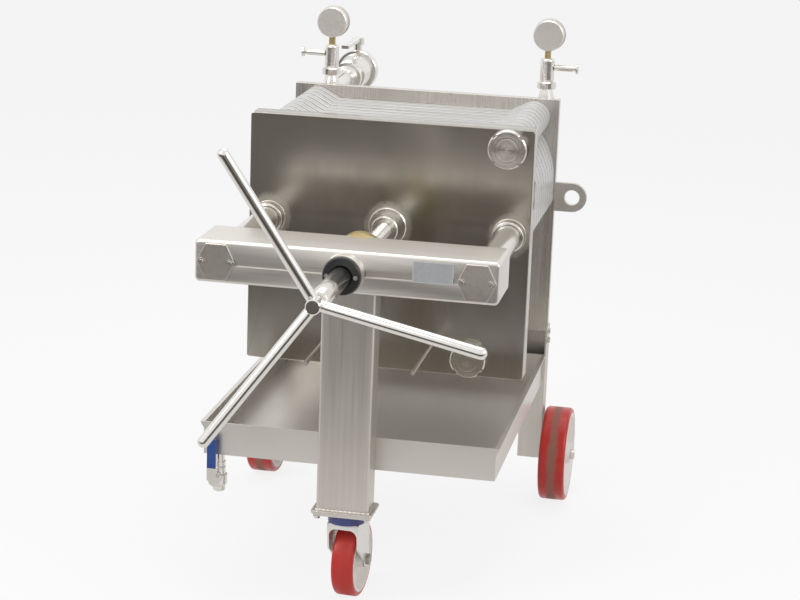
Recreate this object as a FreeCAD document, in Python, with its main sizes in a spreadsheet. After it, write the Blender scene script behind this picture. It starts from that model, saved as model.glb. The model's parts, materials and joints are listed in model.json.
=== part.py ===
import FreeCAD, Part
import math
import os
import Sketcher

# Plate filter press on three wheels, in millimetres. X is the machine's right seen from the
# handwheel, Y runs back from the handwheel to the fixed head, Z is up from the floor.

doc = FreeCAD.newDocument("FilterPress")
sheet = doc.addObject("Spreadsheet::Sheet", "Sizes")
cellCount = 0


class Size:
    """A number together with the sheet expression that gives it."""

    def __init__(self, value, text):
        self.value = value
        self.text = text

    def __add__(self, other):
        return combine(self, "+", other)

    def __radd__(self, other):
        return combine(other, "+", self)

    def __sub__(self, other):
        return combine(self, "-", other)

    def __rsub__(self, other):
        return combine(other, "-", self)

    def __mul__(self, other):
        return combine(self, "*", other)

    def __rmul__(self, other):
        return combine(other, "*", self)

    def __truediv__(self, other):
        return combine(self, "/", other)

    def __neg__(self):
        return combine(0, "-", self)


def asSize(number):
    if isinstance(number, Size):
        return number
    return Size(number, repr(number) if number >= 0 else "(%r)" % number)


def combine(left, sign, right):
    left = asSize(left)
    right = asSize(right)
    results = {
        "+": lambda: left.value + right.value,
        "-": lambda: left.value - right.value,
        "*": lambda: left.value * right.value,
        "/": lambda: left.value / right.value,
    }
    return Size(results[sign](), "(%s %s %s)" % (left.text, sign, right.text))


def cell(name, number):
    """Write one driving dimension in the sheet and hand it back as a Size."""
    global cellCount
    cellCount += 1
    sheet.set("A%d" % cellCount, name)
    sheet.set("B%d" % cellCount, repr(number))
    sheet.setAlias("B%d" % cellCount, name)
    return Size(number, "Sizes.%s" % name)


def root(size, other):
    """The third side of a right triangle, from its long side and one short side."""
    value = math.sqrt(size.value ** 2 - other.value ** 2)
    return Size(value, "sqrt((%s)^2 - (%s)^2)" % (size.text, other.text))


def slant(size, other):
    """The long side of a right triangle, from its two short sides."""
    value = math.sqrt(size.value ** 2 + other.value ** 2)
    return Size(value, "sqrt((%s)^2 + (%s)^2)" % (size.text, other.text))


# Driving dimensions
beamFront = cell("beamFront", -436.3)
beamLength = cell("beamLength", 565.0)
beamDepth = cell("beamDepth", 124.0)
beamHeight = cell("beamHeight", 80.0)
beamWall = cell("beamWall", 5.0)
bandHeight = cell("bandHeight", 12.0)
bandRecess = cell("bandRecess", 3.5)
axisHeight = cell("axisHeight", 654.0)
workGap = cell("workGap", 270.0)

plateWidth = cell("plateWidth", 566.0)
plateDrop = cell("plateDrop", 293.0)
plateRise = cell("plateRise", 210.0)
followerDepth = cell("followerDepth", 45.0)
headDepth = cell("headDepth", 20.0)
cornerRadius = cell("cornerRadius", 6.0)
beamCorner = cell("beamCorner", 9.0)

tieSpacing = cell("tieSpacing", 484.0)
tieRadius = cell("tieRadius", 25.0)
tieEndRadius = cell("tieEndRadius", 18.0)
tieEndLength = cell("tieEndLength", 28.0)
tieNutRadius = cell("tieNutRadius", 31.0)
tieNutDepth = cell("tieNutDepth", 20.0)
sleeveRadius = cell("sleeveRadius", 31.0)
sleeveProud = cell("sleeveProud", 18.0)
edgeBreak = cell("edgeBreak", 2.0)
runClearance = cell("runClearance", 0.08)
restGap = cell("restGap", 0.3)

filterCount = 10
filterPitch = cell("filterPitch", 33.0)
filterRim = cell("filterRim", 22.0)
filterHalfTop = cell("filterHalfTop", 250.0)
filterHalfBottom = cell("filterHalfBottom", 214.0)
filterLower = cell("filterLower", 26.0)
filterFoot = cell("filterFoot", 11.0)
slopeFoot = cell("slopeFoot", 183.0)
earRadius = cell("earRadius", 33.5)
portTopX = cell("portTopX", 232.0)
portDown = cell("portDown", 38.0)
portLowX = cell("portLowX", 173.0)
portUp = cell("portUp", 36.0)
portRadius = cell("portRadius", 18.0)
portSealRadius = cell("portSealRadius", 24.0)
lugHalf = cell("lugHalf", 280.0)
hookThick = cell("hookThick", 23.0)
hookDrop = cell("hookDrop", 4.0)
lugSweep = cell("lugSweep", 146.0)
frameHalf = cell("frameHalf", 190.0)
frameRaise = cell("frameRaise", 52.0)
frameBorder = cell("frameBorder", 25.0)
ribWidth = cell("ribWidth", 6.0)
ribDepth = cell("ribDepth", 4.0)
ribCount = 9

capRadius = cell("capRadius", 39.0)
capLowRadius = cell("capLowRadius", 36.5)
capDepth = cell("capDepth", 20.0)
capNotch = cell("capNotch", 8.0)
capNotchDepth = cell("capNotchDepth", 5.0)
capBevel = cell("capBevel", 3.0)
bossRadius = cell("bossRadius", 27.0)
bossFlange = cell("bossFlange", 38.0)
bossFlangeDepth = cell("bossFlangeDepth", 8.0)
bossDepth = cell("bossDepth", 38.0)
bossFloor = cell("bossFloor", 6.0)
pegRadius = cell("pegRadius", 4.5)
pegLength = cell("pegLength", 194.0)
pegRaise = cell("pegRaise", 54.0)
pegRight = cell("pegRight", 96.0)
pegLeft = cell("pegLeft", 116.0)

threadRadius = cell("threadRadius", 15.0)
shaftRadius = cell("shaftRadius", 19.0)
armStation = cell("armStation", 234.3)
hubRadius = cell("hubRadius", 14.0)
hubAhead = cell("hubAhead", 24.0)
hubBehind = cell("hubBehind", 14.0)
armRadius = cell("armRadius", 10.6)
armSpan = cell("armSpan", 302.0)
armDish = cell("armDish", 64.6)
armTurns = (
    cell("armTurnLeft", 119.7),
    cell("armTurnLow", 234.1),
    cell("armTurnRight", 351.8),
)
nutRadius = cell("nutRadius", 46.0)
nutDepth = cell("nutDepth", 20.0)
barrelRadius = cell("barrelRadius", 31.7)
bushRadius = cell("bushRadius", 35.0)
bushDepth = cell("bushDepth", 7.0)
padRadius = cell("padRadius", 37.0)
padDepth = cell("padDepth", 28.0)
coverHalf = cell("coverHalf", 36.5)
coverFlat = cell("coverFlat", 19.5)
coverHeight = cell("coverHeight", 68.0)
coverDepth = cell("coverDepth", 4.0)

postWidth = cell("postWidth", 100.0)
postDepth = cell("postDepth", 60.0)
postSetback = cell("postSetback", 15.0)
postShift = cell("postShift", 4.0)
postWall = cell("postWall", 4.0)
footWidth = cell("footWidth", 117.0)
footDepth = cell("footDepth", 80.0)
footThick = cell("footThick", 5.5)
footCorner = cell("footCorner", 8.0)
topPlateInset = cell("topPlateInset", 3.0)
topPlateThick = cell("topPlateThick", 5.0)

trayWidth = cell("trayWidth", 576.0)
trayLength = cell("trayLength", 656.0)
trayHeight = cell("trayHeight", 64.0)
trayGap = cell("trayGap", 40.0)
traySheet = cell("traySheet", 2.0)
trayHem = cell("trayHem", 7.0)
trayHemDrop = cell("trayHemDrop", 14.0)

legSide = cell("legSide", 50.0)
legWall = cell("legWall", 3.0)
legDrop = cell("legDrop", 10.5)
legProud = cell("legProud", 4.0)
legRise = cell("legRise", 18.0)

wheelRadius = cell("wheelRadius", 100.0)
wheelWidth = cell("wheelWidth", 56.0)
wheelTyre = cell("wheelTyre", 10.0)
hubProud = cell("hubProud", 2.0)
wheelSpacing = cell("wheelSpacing", 641.0)
axleRadius = cell("axleRadius", 7.0)
axleInset = cell("axleInset", 13.0)
axleHeadRadius = cell("axleHeadRadius", 10.5)
axleHeadDepth = cell("axleHeadDepth", 8.0)
castorRadius = cell("castorRadius", 73.0)
castorWidth = cell("castorWidth", 43.0)
castorTyre = cell("castorTyre", 9.0)
castorTrail = cell("castorTrail", 42.0)
castorShift = cell("castorShift", 4.5)
castorYaw = cell("castorYaw", 4.2)
castorAxle = cell("castorAxle", 6.0)
castorHead = cell("castorHead", 11.4)
forkInner = cell("forkInner", 54.0)
forkSheet = cell("forkSheet", 3.5)
forkArch = cell("forkArch", 14.0)
forkRoomAbove = cell("forkRoomAbove", 6.0)
forkEnd = cell("forkEnd", 15.0)
forkCrown = cell("forkCrown", 28.0)
forkBrow = cell("forkBrow", 22.0)
forkBrowRise = cell("forkBrowRise", 38.0)
crownAbove = cell("crownAbove", 17.0)
sealRadius = cell("sealRadius", 36.0)
sealDepth = cell("sealDepth", 15.5)

eyeRadius = cell("eyeRadius", 31.0)
eyeHole = cell("eyeHole", 16.0)
eyeReach = cell("eyeReach", 318.0)
eyeThick = cell("eyeThick", 10.0)

pipeRadius = cell("pipeRadius", 20.5)
pipeWall = cell("pipeWall", 1.5)
pipeRaise = cell("pipeRaise", 10.0)
inletLength = cell("inletLength", 251.0)
outletLength = cell("outletLength", 126.0)
outletShift = cell("outletShift", 7.5)
ferruleRadius = cell("ferruleRadius", 27.0)
ferruleDepth = cell("ferruleDepth", 8.0)
gaugeBack = cell("gaugeBack", 98.0)
clampRadius = cell("clampRadius", 33.0)
clampDepth = cell("clampDepth", 14.0)
valveNeck = cell("valveNeck", 30.0)
valveCone = cell("valveCone", 62.0)
valveRadius = cell("valveRadius", 47.0)
valveRim = cell("valveRim", 26.0)
valveTail = cell("valveTail", 10.0)
socketRadius = cell("socketRadius", 20.0)
valveStem = cell("valveStem", 9.0)
valveStemRise = cell("valveStemRise", 12.0)
leverLength = cell("leverLength", 140.0)
leverWidth = cell("leverWidth", 16.0)
leverThick = cell("leverThick", 7.0)
leverHub = cell("leverHub", 14.0)
leverHubDepth = cell("leverHubDepth", 16.0)

teeRadius = cell("teeRadius", 15.0)
teeShoulder = cell("teeShoulder", 6.0)
teeLength = cell("teeLength", 66.5)
ringRadius = cell("ringRadius", 20.0)
ringRaise = cell("ringRaise", 31.0)
ringDepth = cell("ringDepth", 16.0)
tapRaise = cell("tapRaise", 46.0)
tapRadius = cell("tapRadius", 6.5)
tapReach = cell("tapReach", 66.0)
tapDisc = cell("tapDisc", 10.5)
stemSide = cell("stemSide", 12.0)
stemLength = cell("stemLength", 15.5)
gaugeRadius = cell("gaugeRadius", 32.5)
gaugeDepth = cell("gaugeDepth", 24.0)
bezelRadius = cell("bezelRadius", 34.0)
bezelDepth = cell("bezelDepth", 10.0)
glassDepth = cell("glassDepth", 3.0)

drainX = cell("drainX", 255.0)
drainSetback = cell("drainSetback", 20.0)
drainRadius = cell("drainRadius", 10.0)
drainBore = cell("drainBore", 8.0)
drainNeck = cell("drainNeck", 18.5)
ballRadius = cell("ballRadius", 15.5)
drainDrop = cell("drainDrop", 78.0)
collarDepth = cell("collarDepth", 10.0)
chestDepth = cell("chestDepth", 14.5)
ballDepth = cell("ballDepth", 24.5)
drainStem = cell("drainStem", 47.0)
drainLeverWidth = cell("drainLeverWidth", 17.0)
drainLeverShift = cell("drainLeverShift", 5.5)
drainLeverStart = cell("drainLeverStart", 26.0)
drainLeverLength = cell("drainLeverLength", 56.0)
drainLeverThick = cell("drainLeverThick", 4.0)

# Places worked out from the driving dimensions
beamBack = beamFront + beamDepth
followerFront = beamBack + workGap
packFront = followerFront + followerDepth
headFront = packFront + filterPitch * filterCount
headBack = headFront + headDepth
tieX = tieSpacing / 2
plateBottom = axisHeight - plateDrop
plateTop = axisHeight + plateRise
filterTop = plateTop - filterLower
filterBottom = plateBottom + filterFoot
frameBottom = filterBottom + frameRaise
portTopZ = plateTop - portDown
portLowZ = plateBottom + portUp
lugCrown = axisHeight + tieRadius + hookThick
lugBottom = axisHeight - hookDrop
pegHeight = plateBottom + pegRaise
beamBottom = axisHeight - beamHeight / 2
frameBulge = filterPitch - restGap
postFront = beamFront + postSetback
postMiddle = postFront + postDepth / 2
trayFront = postFront + postDepth
trayBack = trayFront + trayLength
trayTop = plateBottom - trayGap
trayBottom = trayTop - trayHeight
trayWallHalf = trayWidth / 2 - trayHem
legFront = trayBack
legOuter = plateWidth / 2 + legProud
legBottom = wheelRadius - legDrop
wheelX = wheelSpacing / 2
axleY = legFront + axleInset
castorX = postShift + castorShift
crownTop = castorRadius * 2 + crownAbove
forkRoom = castorRadius * 2 + forkRoomAbove
footBottom = crownTop + sealDepth + topPlateThick
footTop = footBottom + footThick
gaugeY = headBack + gaugeBack
outletX = portTopX + outletShift
pipeHeight = portTopZ + pipeRaise
ringBottom = pipeHeight + ringRaise
tapHeight = ringBottom + tapRaise
teeTop = ringBottom + teeLength
gaugeHeight = teeTop + stemLength + gaugeRadius
inletEnd = headBack + inletLength
valveEnd = inletEnd + clampDepth + valveNeck + valveCone + valveRim + valveTail
leverY = valveEnd - valveTail - valveRim / 2
leverBottom = pipeHeight + valveRadius + valveStemRise
drainY = trayFront + drainSetback
drainPivot = trayBottom - drainStem


def bind(item, prop, number):
    item.setExpression(prop, asSize(number).text)


def place(item, x, y, z):
    bind(item, "Placement.Base.x", x)
    bind(item, "Placement.Base.y", y)
    bind(item, "Placement.Base.z", z)
    return item


def turned(item, axis, angle):
    item.Placement.Rotation = FreeCAD.Rotation(FreeCAD.Vector(*axis), angle)
    return item


def makeBox(name, low, lengths):
    box = doc.addObject("Part::Box", name)
    for prop, length in zip(("Length", "Width", "Height"), lengths):
        bind(box, prop, length)
    return place(box, *low)


# The turn that lays an item's own Z axis along a direction
turns = {
    "x": ((0, 1, 0), 90),
    "-x": ((0, 1, 0), -90),
    "y": ((1, 0, 0), -90),
    "-y": ((1, 0, 0), 90),
    "z": ((0, 0, 1), 0),
    "-z": ((1, 0, 0), 180),
}


def makeRod(name, direction, start, radius, length, wide=None):
    """A cylinder, or a cone that ends with another radius, from start along x, y or z."""
    if wide is None:
        rod = doc.addObject("Part::Cylinder", name)
        bind(rod, "Radius", radius)
    else:
        rod = doc.addObject("Part::Cone", name)
        bind(rod, "Radius1", radius)
        bind(rod, "Radius2", wide)
    bind(rod, "Height", length)
    return place(turned(rod, *turns[direction]), *start)


def fused(name, items):
    union = doc.addObject("Part::MultiFuse", name)
    union.Shapes = items
    union.Refine = True
    return union


def cutAway(name, base, tools):
    cut = doc.addObject("Part::Cut", name)
    cut.Base = base
    cut.Tool = tools[0] if len(tools) == 1 else fused(name + "Tools", tools)
    cut.Refine = True
    return cut


def gathered(name, items):
    """Like pieces that don't touch, kept in one node."""
    group = doc.addObject("Part::Compound", name)
    group.Links = items
    return group


def newBody(name):
    return doc.addObject("PartDesign::Body", name)


def planeOf(body, role):
    for feature in body.Origin.OriginFeatures:
        if feature.Role == role:
            return feature
    raise ValueError(role)


def newSketch(body, name, role, offset=0):
    sketch = body.newObject("Sketcher::SketchObject", name)
    sketch.AttachmentSupport = [(planeOf(body, role), "")]
    sketch.MapMode = "FlatFace"
    bind(sketch, "AttachmentOffset.Base.z", offset)
    return sketch


def pinPoint(sketch, geometry, corner, across, up):
    """Hold one point of a sketch at a distance from its origin."""
    for kind, size in (("DistanceX", asSize(across)), ("DistanceY", asSize(up))):
        index = sketch.addConstraint(Sketcher.Constraint(kind, -1, 1, geometry, corner, size.value))
        sketch.setExpression("Constraints[%d]" % index, size.text)


def addOutline(sketch, points):
    """Close a loop of lines and arcs. A point is (across, up) or (across, up, radius, bulge):
    the edge to the next point is then an arc that bulges left (1) or right (-1)."""
    count = len(points)
    flat = [FreeCAD.Vector(asSize(p[0]).value, asSize(p[1]).value, 0) for p in points]
    edges = []
    for i, point in enumerate(points):
        start, end = flat[i], flat[(i + 1) % count]
        if len(point) == 2:
            edges.append(sketch.addGeometry(Part.LineSegment(start, end), False))
            continue
        radius, bulge = asSize(point[2]), point[3]
        chord = end - start
        reach = math.sqrt(max(radius.value ** 2 - (chord.Length / 2) ** 2, 0))
        left = FreeCAD.Vector(-chord.y, chord.x, 0).normalize()
        middle = (start + end) * 0.5 + left * (bulge * (radius.value - reach))
        arc = Part.Arc(start, middle, end).toShape().Curve
        circle = Part.Circle(arc.Center, FreeCAD.Vector(0, 0, 1), radius.value)
        ends = (start, end) if bulge < 0 else (end, start)
        angles = [math.atan2(v.y - arc.Center.y, v.x - arc.Center.x) for v in ends]
        edges.append(sketch.addGeometry(Part.ArcOfCircle(circle, angles[0], angles[1]), False))
    for i, point in enumerate(points):
        reverse = len(point) > 2 and point[3] > 0
        pinPoint(sketch, edges[i], 2 if reverse else 1, point[0], point[1])
        following = points[(i + 1) % count]
        nextReverse = len(following) > 2 and following[3] > 0
        sketch.addConstraint(Sketcher.Constraint(
            "Coincident", edges[i], 1 if reverse else 2,
            edges[(i + 1) % count], 2 if nextReverse else 1))
        if len(point) > 2:
            size = asSize(point[2])
            index = sketch.addConstraint(Sketcher.Constraint("Radius", edges[i], size.value))
            sketch.setExpression("Constraints[%d]" % index, size.text)


def addCircle(sketch, across, up, radius):
    centre = FreeCAD.Vector(asSize(across).value, asSize(up).value, 0)
    size = asSize(radius)
    circle = sketch.addGeometry(Part.Circle(centre, FreeCAD.Vector(0, 0, 1), size.value), False)
    pinPoint(sketch, circle, 3, across, up)
    index = sketch.addConstraint(Sketcher.Constraint("Radius", circle, size.value))
    sketch.setExpression("Constraints[%d]" % index, size.text)


def addRectangle(sketch, low, high):
    addOutline(sketch, [low, (high[0], low[1]), high, (low[0], high[1])])


def addPad(body, name, sketch, length, middle=False, back=False):
    pad = body.newObject("PartDesign::Pad", name)
    pad.Profile = sketch
    bind(pad, "Length", length)
    if middle:
        pad.SideType = "Symmetric"
    pad.Reversed = back
    doc.recompute()
    return pad


def addPocket(body, name, sketch, length=None, middle=False, back=False):
    before = body.Shape.Volume
    pocket = body.newObject("PartDesign::Pocket", name)
    pocket.Profile = sketch
    if length is None:
        pocket.Type = "ThroughAll"
        pocket.SideType = "Symmetric"
    else:
        bind(pocket, "Length", length)
    if middle:
        pocket.SideType = "Symmetric"
    pocket.Reversed = back
    doc.recompute()
    if body.Shape.Volume >= before:
        raise ValueError("%s cuts nothing" % name)
    return pocket


def edgesAlong(feature, axis, least):
    """Names of the edges that reach at least so far along an axis."""
    names = []
    for i, edge in enumerate(feature.Shape.Edges):
        if getattr(edge.BoundBox, axis + "Length") > least.value:
            names.append("Edge%d" % (i + 1))
    return names


def addFillet(body, name, feature, edges, radius):
    fillet = body.newObject("PartDesign::Fillet", name)
    fillet.Base = (feature, edges)
    bind(fillet, "Radius", radius)
    doc.recompute()
    return fillet


def revolved(name, points):
    """A body turned about its own Z axis, from (radius, up) points."""
    body = newBody(name)
    sketch = newSketch(body, name + "Profile", "XZ_Plane")
    addOutline(sketch, points)
    turn = body.newObject("PartDesign::Revolution", name + "Turn")
    turn.Profile = sketch
    turn.ReferenceAxis = (sketch, ["V_Axis"])
    turn.Angle = 360
    doc.recompute()
    return body


def turnedPiece(name, points, direction, start):
    """A body from the lathe: (radius, along) points, laid along a direction from start."""
    body = turned(revolved(name, points), *turns[direction])
    return place(body, *start)


nodes = []


def node(item, label):
    item.Label = label
    nodes.append(item)
    return item


def makeHead():
    body = newBody("Head")
    outline = newSketch(body, "HeadOutline", "XZ_Plane")
    addRectangle(outline, (-plateWidth / 2, plateBottom), (plateWidth / 2, plateTop))
    addPad(body, "HeadPlate", outline, headDepth, back=True)
    holes = newSketch(body, "HeadHoles", "XZ_Plane")
    for side in (-1, 1):
        addCircle(holes, side * tieX, axisHeight, tieEndRadius + runClearance)
    addCircle(holes, -portTopX, pipeHeight, portRadius)
    addCircle(holes, outletX, portTopZ, portRadius)
    addPocket(body, "HeadBores", holes)
    place(body, 0, headFront, 0)
    node(body, "head_plate")


def makeFollower():
    body = newBody("Follower")
    outline = newSketch(body, "FollowerOutline", "XZ_Plane")
    addRectangle(outline, (-plateWidth / 2, plateBottom), (plateWidth / 2, plateTop))
    pad = addPad(body, "FollowerPlate", outline, followerDepth, back=True)
    addFillet(body, "FollowerCorners", pad, edgesAlong(pad, "Y", followerDepth / 2), cornerRadius)
    sleeves = newSketch(body, "FollowerSleeves", "XZ_Plane")
    bores = newSketch(body, "FollowerBores", "XZ_Plane")
    for side in (-1, 1):
        addCircle(sleeves, side * tieX, axisHeight, sleeveRadius)
        addCircle(bores, side * tieX, axisHeight, tieRadius + runClearance)
    addPad(body, "FollowerSleeve", sleeves, sleeveProud)
    addPocket(body, "FollowerBore", bores)
    place(body, 0, followerFront, 0)
    node(body, "follower_plate")
    bore = threadRadius + runClearance
    boss = turnedPiece("Boss", [
        (0, 0), (bossFlange, 0), (bossFlange, bossFlangeDepth - edgeBreak),
        (bossFlange - edgeBreak, bossFlangeDepth), (bossRadius, bossFlangeDepth),
        (bossRadius, bossDepth - edgeBreak), (bossRadius - edgeBreak, bossDepth),
        (bore, bossDepth), (bore, bossFloor), (0, bossFloor),
    ], "-y", (0, followerFront, axisHeight))
    node(boss, "screw_boss")
    pegs = []
    for name, x in (("PegRight", pegRight), ("PegLeft", -pegLeft)):
        pegs.append(makeRod(name, "-y", (x, followerFront, pegHeight), pegRadius, pegLength))
    node(gathered("Pegs", pegs), "support_pegs")
    caps = [
        makeCap("CapTop", portTopX, portTopZ, capRadius),
        makeCap("CapLow", portLowX, portLowZ, capLowRadius),
    ]
    node(gathered("PortCaps", caps), "port_caps")


def makeCap(name, x, z, radius):
    """A slotted round cap that closes a port the plate line doesn't use."""
    body = newBody(name)
    disc = newSketch(body, name + "Disc", "XZ_Plane")
    addCircle(disc, 0, 0, radius)
    pad = addPad(body, name + "Blank", disc, capDepth)
    rim = [
        "Edge%d" % (i + 1) for i, edge in enumerate(pad.Shape.Edges)
        if edge.BoundBox.YMax < -capDepth.value / 2
    ]
    bevel = body.newObject("PartDesign::Chamfer", name + "Bevel")
    bevel.Base = (pad, rim)
    bind(bevel, "Size", capBevel)
    doc.recompute()
    slot = newSketch(body, name + "Slot", "XZ_Plane")
    addRectangle(slot, (radius - capNotchDepth, -capNotch / 2), (radius + capNotchDepth, capNotch / 2))
    pocket = addPocket(body, name + "Notch", slot)
    pattern = body.newObject("PartDesign::PolarPattern", name + "Notches")
    pattern.Originals = [pocket]
    pattern.Axis = (planeOf(body, "Y_Axis"), [""])
    pattern.Angle = 360
    pattern.Occurrences = 4
    body.Tip = pattern
    turned(body, (0, 1, 0), 45)
    return place(body, x, followerFront, z)


def earTangent():
    """Where the slope beside the sealing frame runs into the round ear of a port."""
    across = portTopX - slopeFoot
    down = portTopZ - filterTop
    reach = slant(across, down)
    run = root(reach, earRadius)
    inward = earRadius * earRadius / (reach * reach)
    sideways = earRadius * run / (reach * reach)
    return (portTopX - inward * across - sideways * down,
            portTopZ - inward * down + sideways * across)


def filterOutline():
    """One half from the bottom to the top, with an ear and a hook, then its mirror image."""
    notch = tieRadius + restGap
    earDrop = root(earRadius, filterHalfTop - portTopX)
    lugRise = root(lugSweep, lugSweep - lugHalf + filterHalfTop)
    right = [
        (filterHalfBottom, filterBottom),
        (filterHalfBottom, lugBottom),
        (tieX - notch, lugBottom),
        (tieX - notch, axisHeight, notch, 1),
        (tieX, axisHeight + notch, notch, 1),
        (tieX + notch, axisHeight),
        (tieX + notch, lugBottom),
        (lugHalf, lugBottom),
        (lugHalf, lugCrown, lugSweep, -1),
        (filterHalfTop, lugCrown + lugRise),
        (filterHalfTop, portTopZ - earDrop, earRadius, -1),
        earTangent(),
        (slopeFoot, filterTop),
    ]
    left = []
    for i in range(len(right) - 1, -1, -1):
        point = (-right[i][0], right[i][1])
        if i > 0 and len(right[i - 1]) > 2:
            point = point + (right[i - 1][2], right[i - 1][3])
        left.append(point)
    return right + left


def makeFilterPlate(index):
    """A plate with a sealing frame, ribbed faces for the sheets, ports and side hooks."""
    name = "Filter%02d" % index
    body = newBody(name)
    outline = newSketch(body, name + "Outline", "XZ_Plane")
    addOutline(outline, filterOutline())
    addPad(body, name + "Rim", outline, filterRim, middle=True)
    block = newSketch(body, name + "Block", "XZ_Plane")
    addRectangle(block, (-frameHalf, frameBottom), (frameHalf, filterTop))
    addPad(body, name + "Frame", block, frameBulge, middle=True)
    rings = newSketch(body, name + "Rings", "XZ_Plane")
    ports = newSketch(body, name + "Ports", "XZ_Plane")
    for side in (-1, 1):
        for x, z in ((portTopX, portTopZ), (portLowX, portLowZ)):
            addCircle(rings, side * x, z, portSealRadius)
            addCircle(ports, side * x, z, portRadius)
    addPad(body, name + "PortRings", rings, frameBulge, middle=True)
    addPocket(body, name + "PortHoles", ports)
    fieldHalf = frameHalf - frameBorder
    channel = (fieldHalf * 2 - ribWidth * (ribCount - 2)) / (ribCount - 1)
    channels = []
    for face, side in (("Front", 1), ("Back", -1)):
        sketch = newSketch(body, name + face + "Channel", "XZ_Plane", side * frameBulge / 2)
        addRectangle(sketch, (-fieldHalf, frameBottom + frameBorder),
                     (channel - fieldHalf, filterTop - frameBorder))
        channels.append(addPocket(body, name + face, sketch, ribDepth, back=side < 0))
    pattern = body.newObject("PartDesign::LinearPattern", name + "Channels")
    pattern.Originals = channels
    pattern.Direction = (planeOf(body, "X_Axis"), [""])
    bind(pattern, "Length", fieldHalf * 2 - channel)
    pattern.Occurrences = ribCount - 1
    body.Tip = pattern
    place(body, 0, packFront + filterPitch * (index - 0.5), 0)
    node(body, "filter_plate_%02d" % index)


def makeBeam():
    body = newBody("Beam")
    outline = newSketch(body, "BeamOutline", "XZ_Plane")
    addRectangle(outline, (-beamLength / 2, -beamHeight / 2), (beamLength / 2, beamHeight / 2))
    pad = addPad(body, "BeamBlock", outline, beamDepth, back=True)
    ends = addFillet(body, "BeamCorners", pad, edgesAlong(pad, "Y", beamDepth / 2), beamCorner)
    addFillet(body, "BeamEdges", ends, edgesAlong(ends, "X", beamLength / 2), cornerRadius)
    hollow = newSketch(body, "BeamHollow", "YZ_Plane")
    addRectangle(hollow, (beamWall, -beamHeight / 2 + beamWall),
                 (beamDepth - beamWall, beamHeight / 2 - beamWall))
    addPocket(body, "BeamInside", hollow, beamLength - beamWall * 2, middle=True)
    band = newSketch(body, "BeamBand", "XZ_Plane")
    addRectangle(band, (-tieX, -bandHeight / 2), (tieX, bandHeight / 2))
    addPocket(body, "BeamGroove", band, bandRecess)
    padRing = newSketch(body, "BeamPadRing", "XZ_Plane")
    addCircle(padRing, 0, 0, padRadius)
    addPad(body, "BeamPad", padRing, padDepth)
    bores = newSketch(body, "BeamBores", "XZ_Plane")
    addCircle(bores, 0, 0, barrelRadius + restGap)
    addPocket(body, "BeamBore", bores)
    tieHoles = newSketch(body, "BeamTieHoles", "XZ_Plane", -beamDepth)
    for side in (-1, 1):
        addCircle(tieHoles, side * tieX, 0, tieEndRadius + runClearance)
    addPocket(body, "BeamTieBores", tieHoles, beamWall, back=True)
    place(body, 0, beamFront, axisHeight)
    node(body, "crossbeam")


def makeTieBars():
    bars = []
    nuts = []
    nutFront = headBack + eyeThick
    for name, side in (("TieLeft", -1), ("TieRight", 1)):
        x = side * tieX
        main = makeRod(name + "Main", "y", (x, beamBack, axisHeight), tieRadius, headFront - beamBack)
        back = makeRod(name + "Back", "y", (x, headFront, axisHeight), tieEndRadius,
                       nutFront + tieEndLength - headFront)
        front = makeRod(name + "Front", "-y", (x, beamBack, axisHeight), tieEndRadius,
                        beamWall + tieEndLength)
        bars.append(fused(name, [main, back, front]))
        blank = doc.addObject("Part::Prism", name + "NutBlank")
        blank.Polygon = 6
        bind(blank, "Circumradius", tieNutRadius)
        bind(blank, "Height", tieNutDepth)
        place(turned(blank, *turns["y"]), x, nutFront, axisHeight)
        hole = makeRod(name + "NutHole", "y", (x, nutFront - edgeBreak, axisHeight),
                       tieEndRadius + runClearance, tieNutDepth + edgeBreak * 2)
        nuts.append(cutAway(name + "Nut", blank, [hole]))
    node(gathered("TieBars", bars), "tie_bars")
    node(gathered("TieNuts", nuts), "tie_nuts")


def makeCovers():
    covers = []
    for name, side in (("CoverLeft", -1), ("CoverRight", 1)):
        body = newBody(name)
        sketch = newSketch(body, name + "Outline", "XZ_Plane")
        addOutline(sketch, [
            (-coverHalf, 0), (-coverFlat, -coverHeight / 2), (coverFlat, -coverHeight / 2),
            (coverHalf, 0), (coverFlat, coverHeight / 2), (-coverFlat, coverHeight / 2),
        ])
        addPad(body, name + "Sheet", sketch, coverDepth)
        covers.append(place(body, side * tieX, beamFront, axisHeight))
    node(gathered("Covers", covers), "beam_covers")


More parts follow.
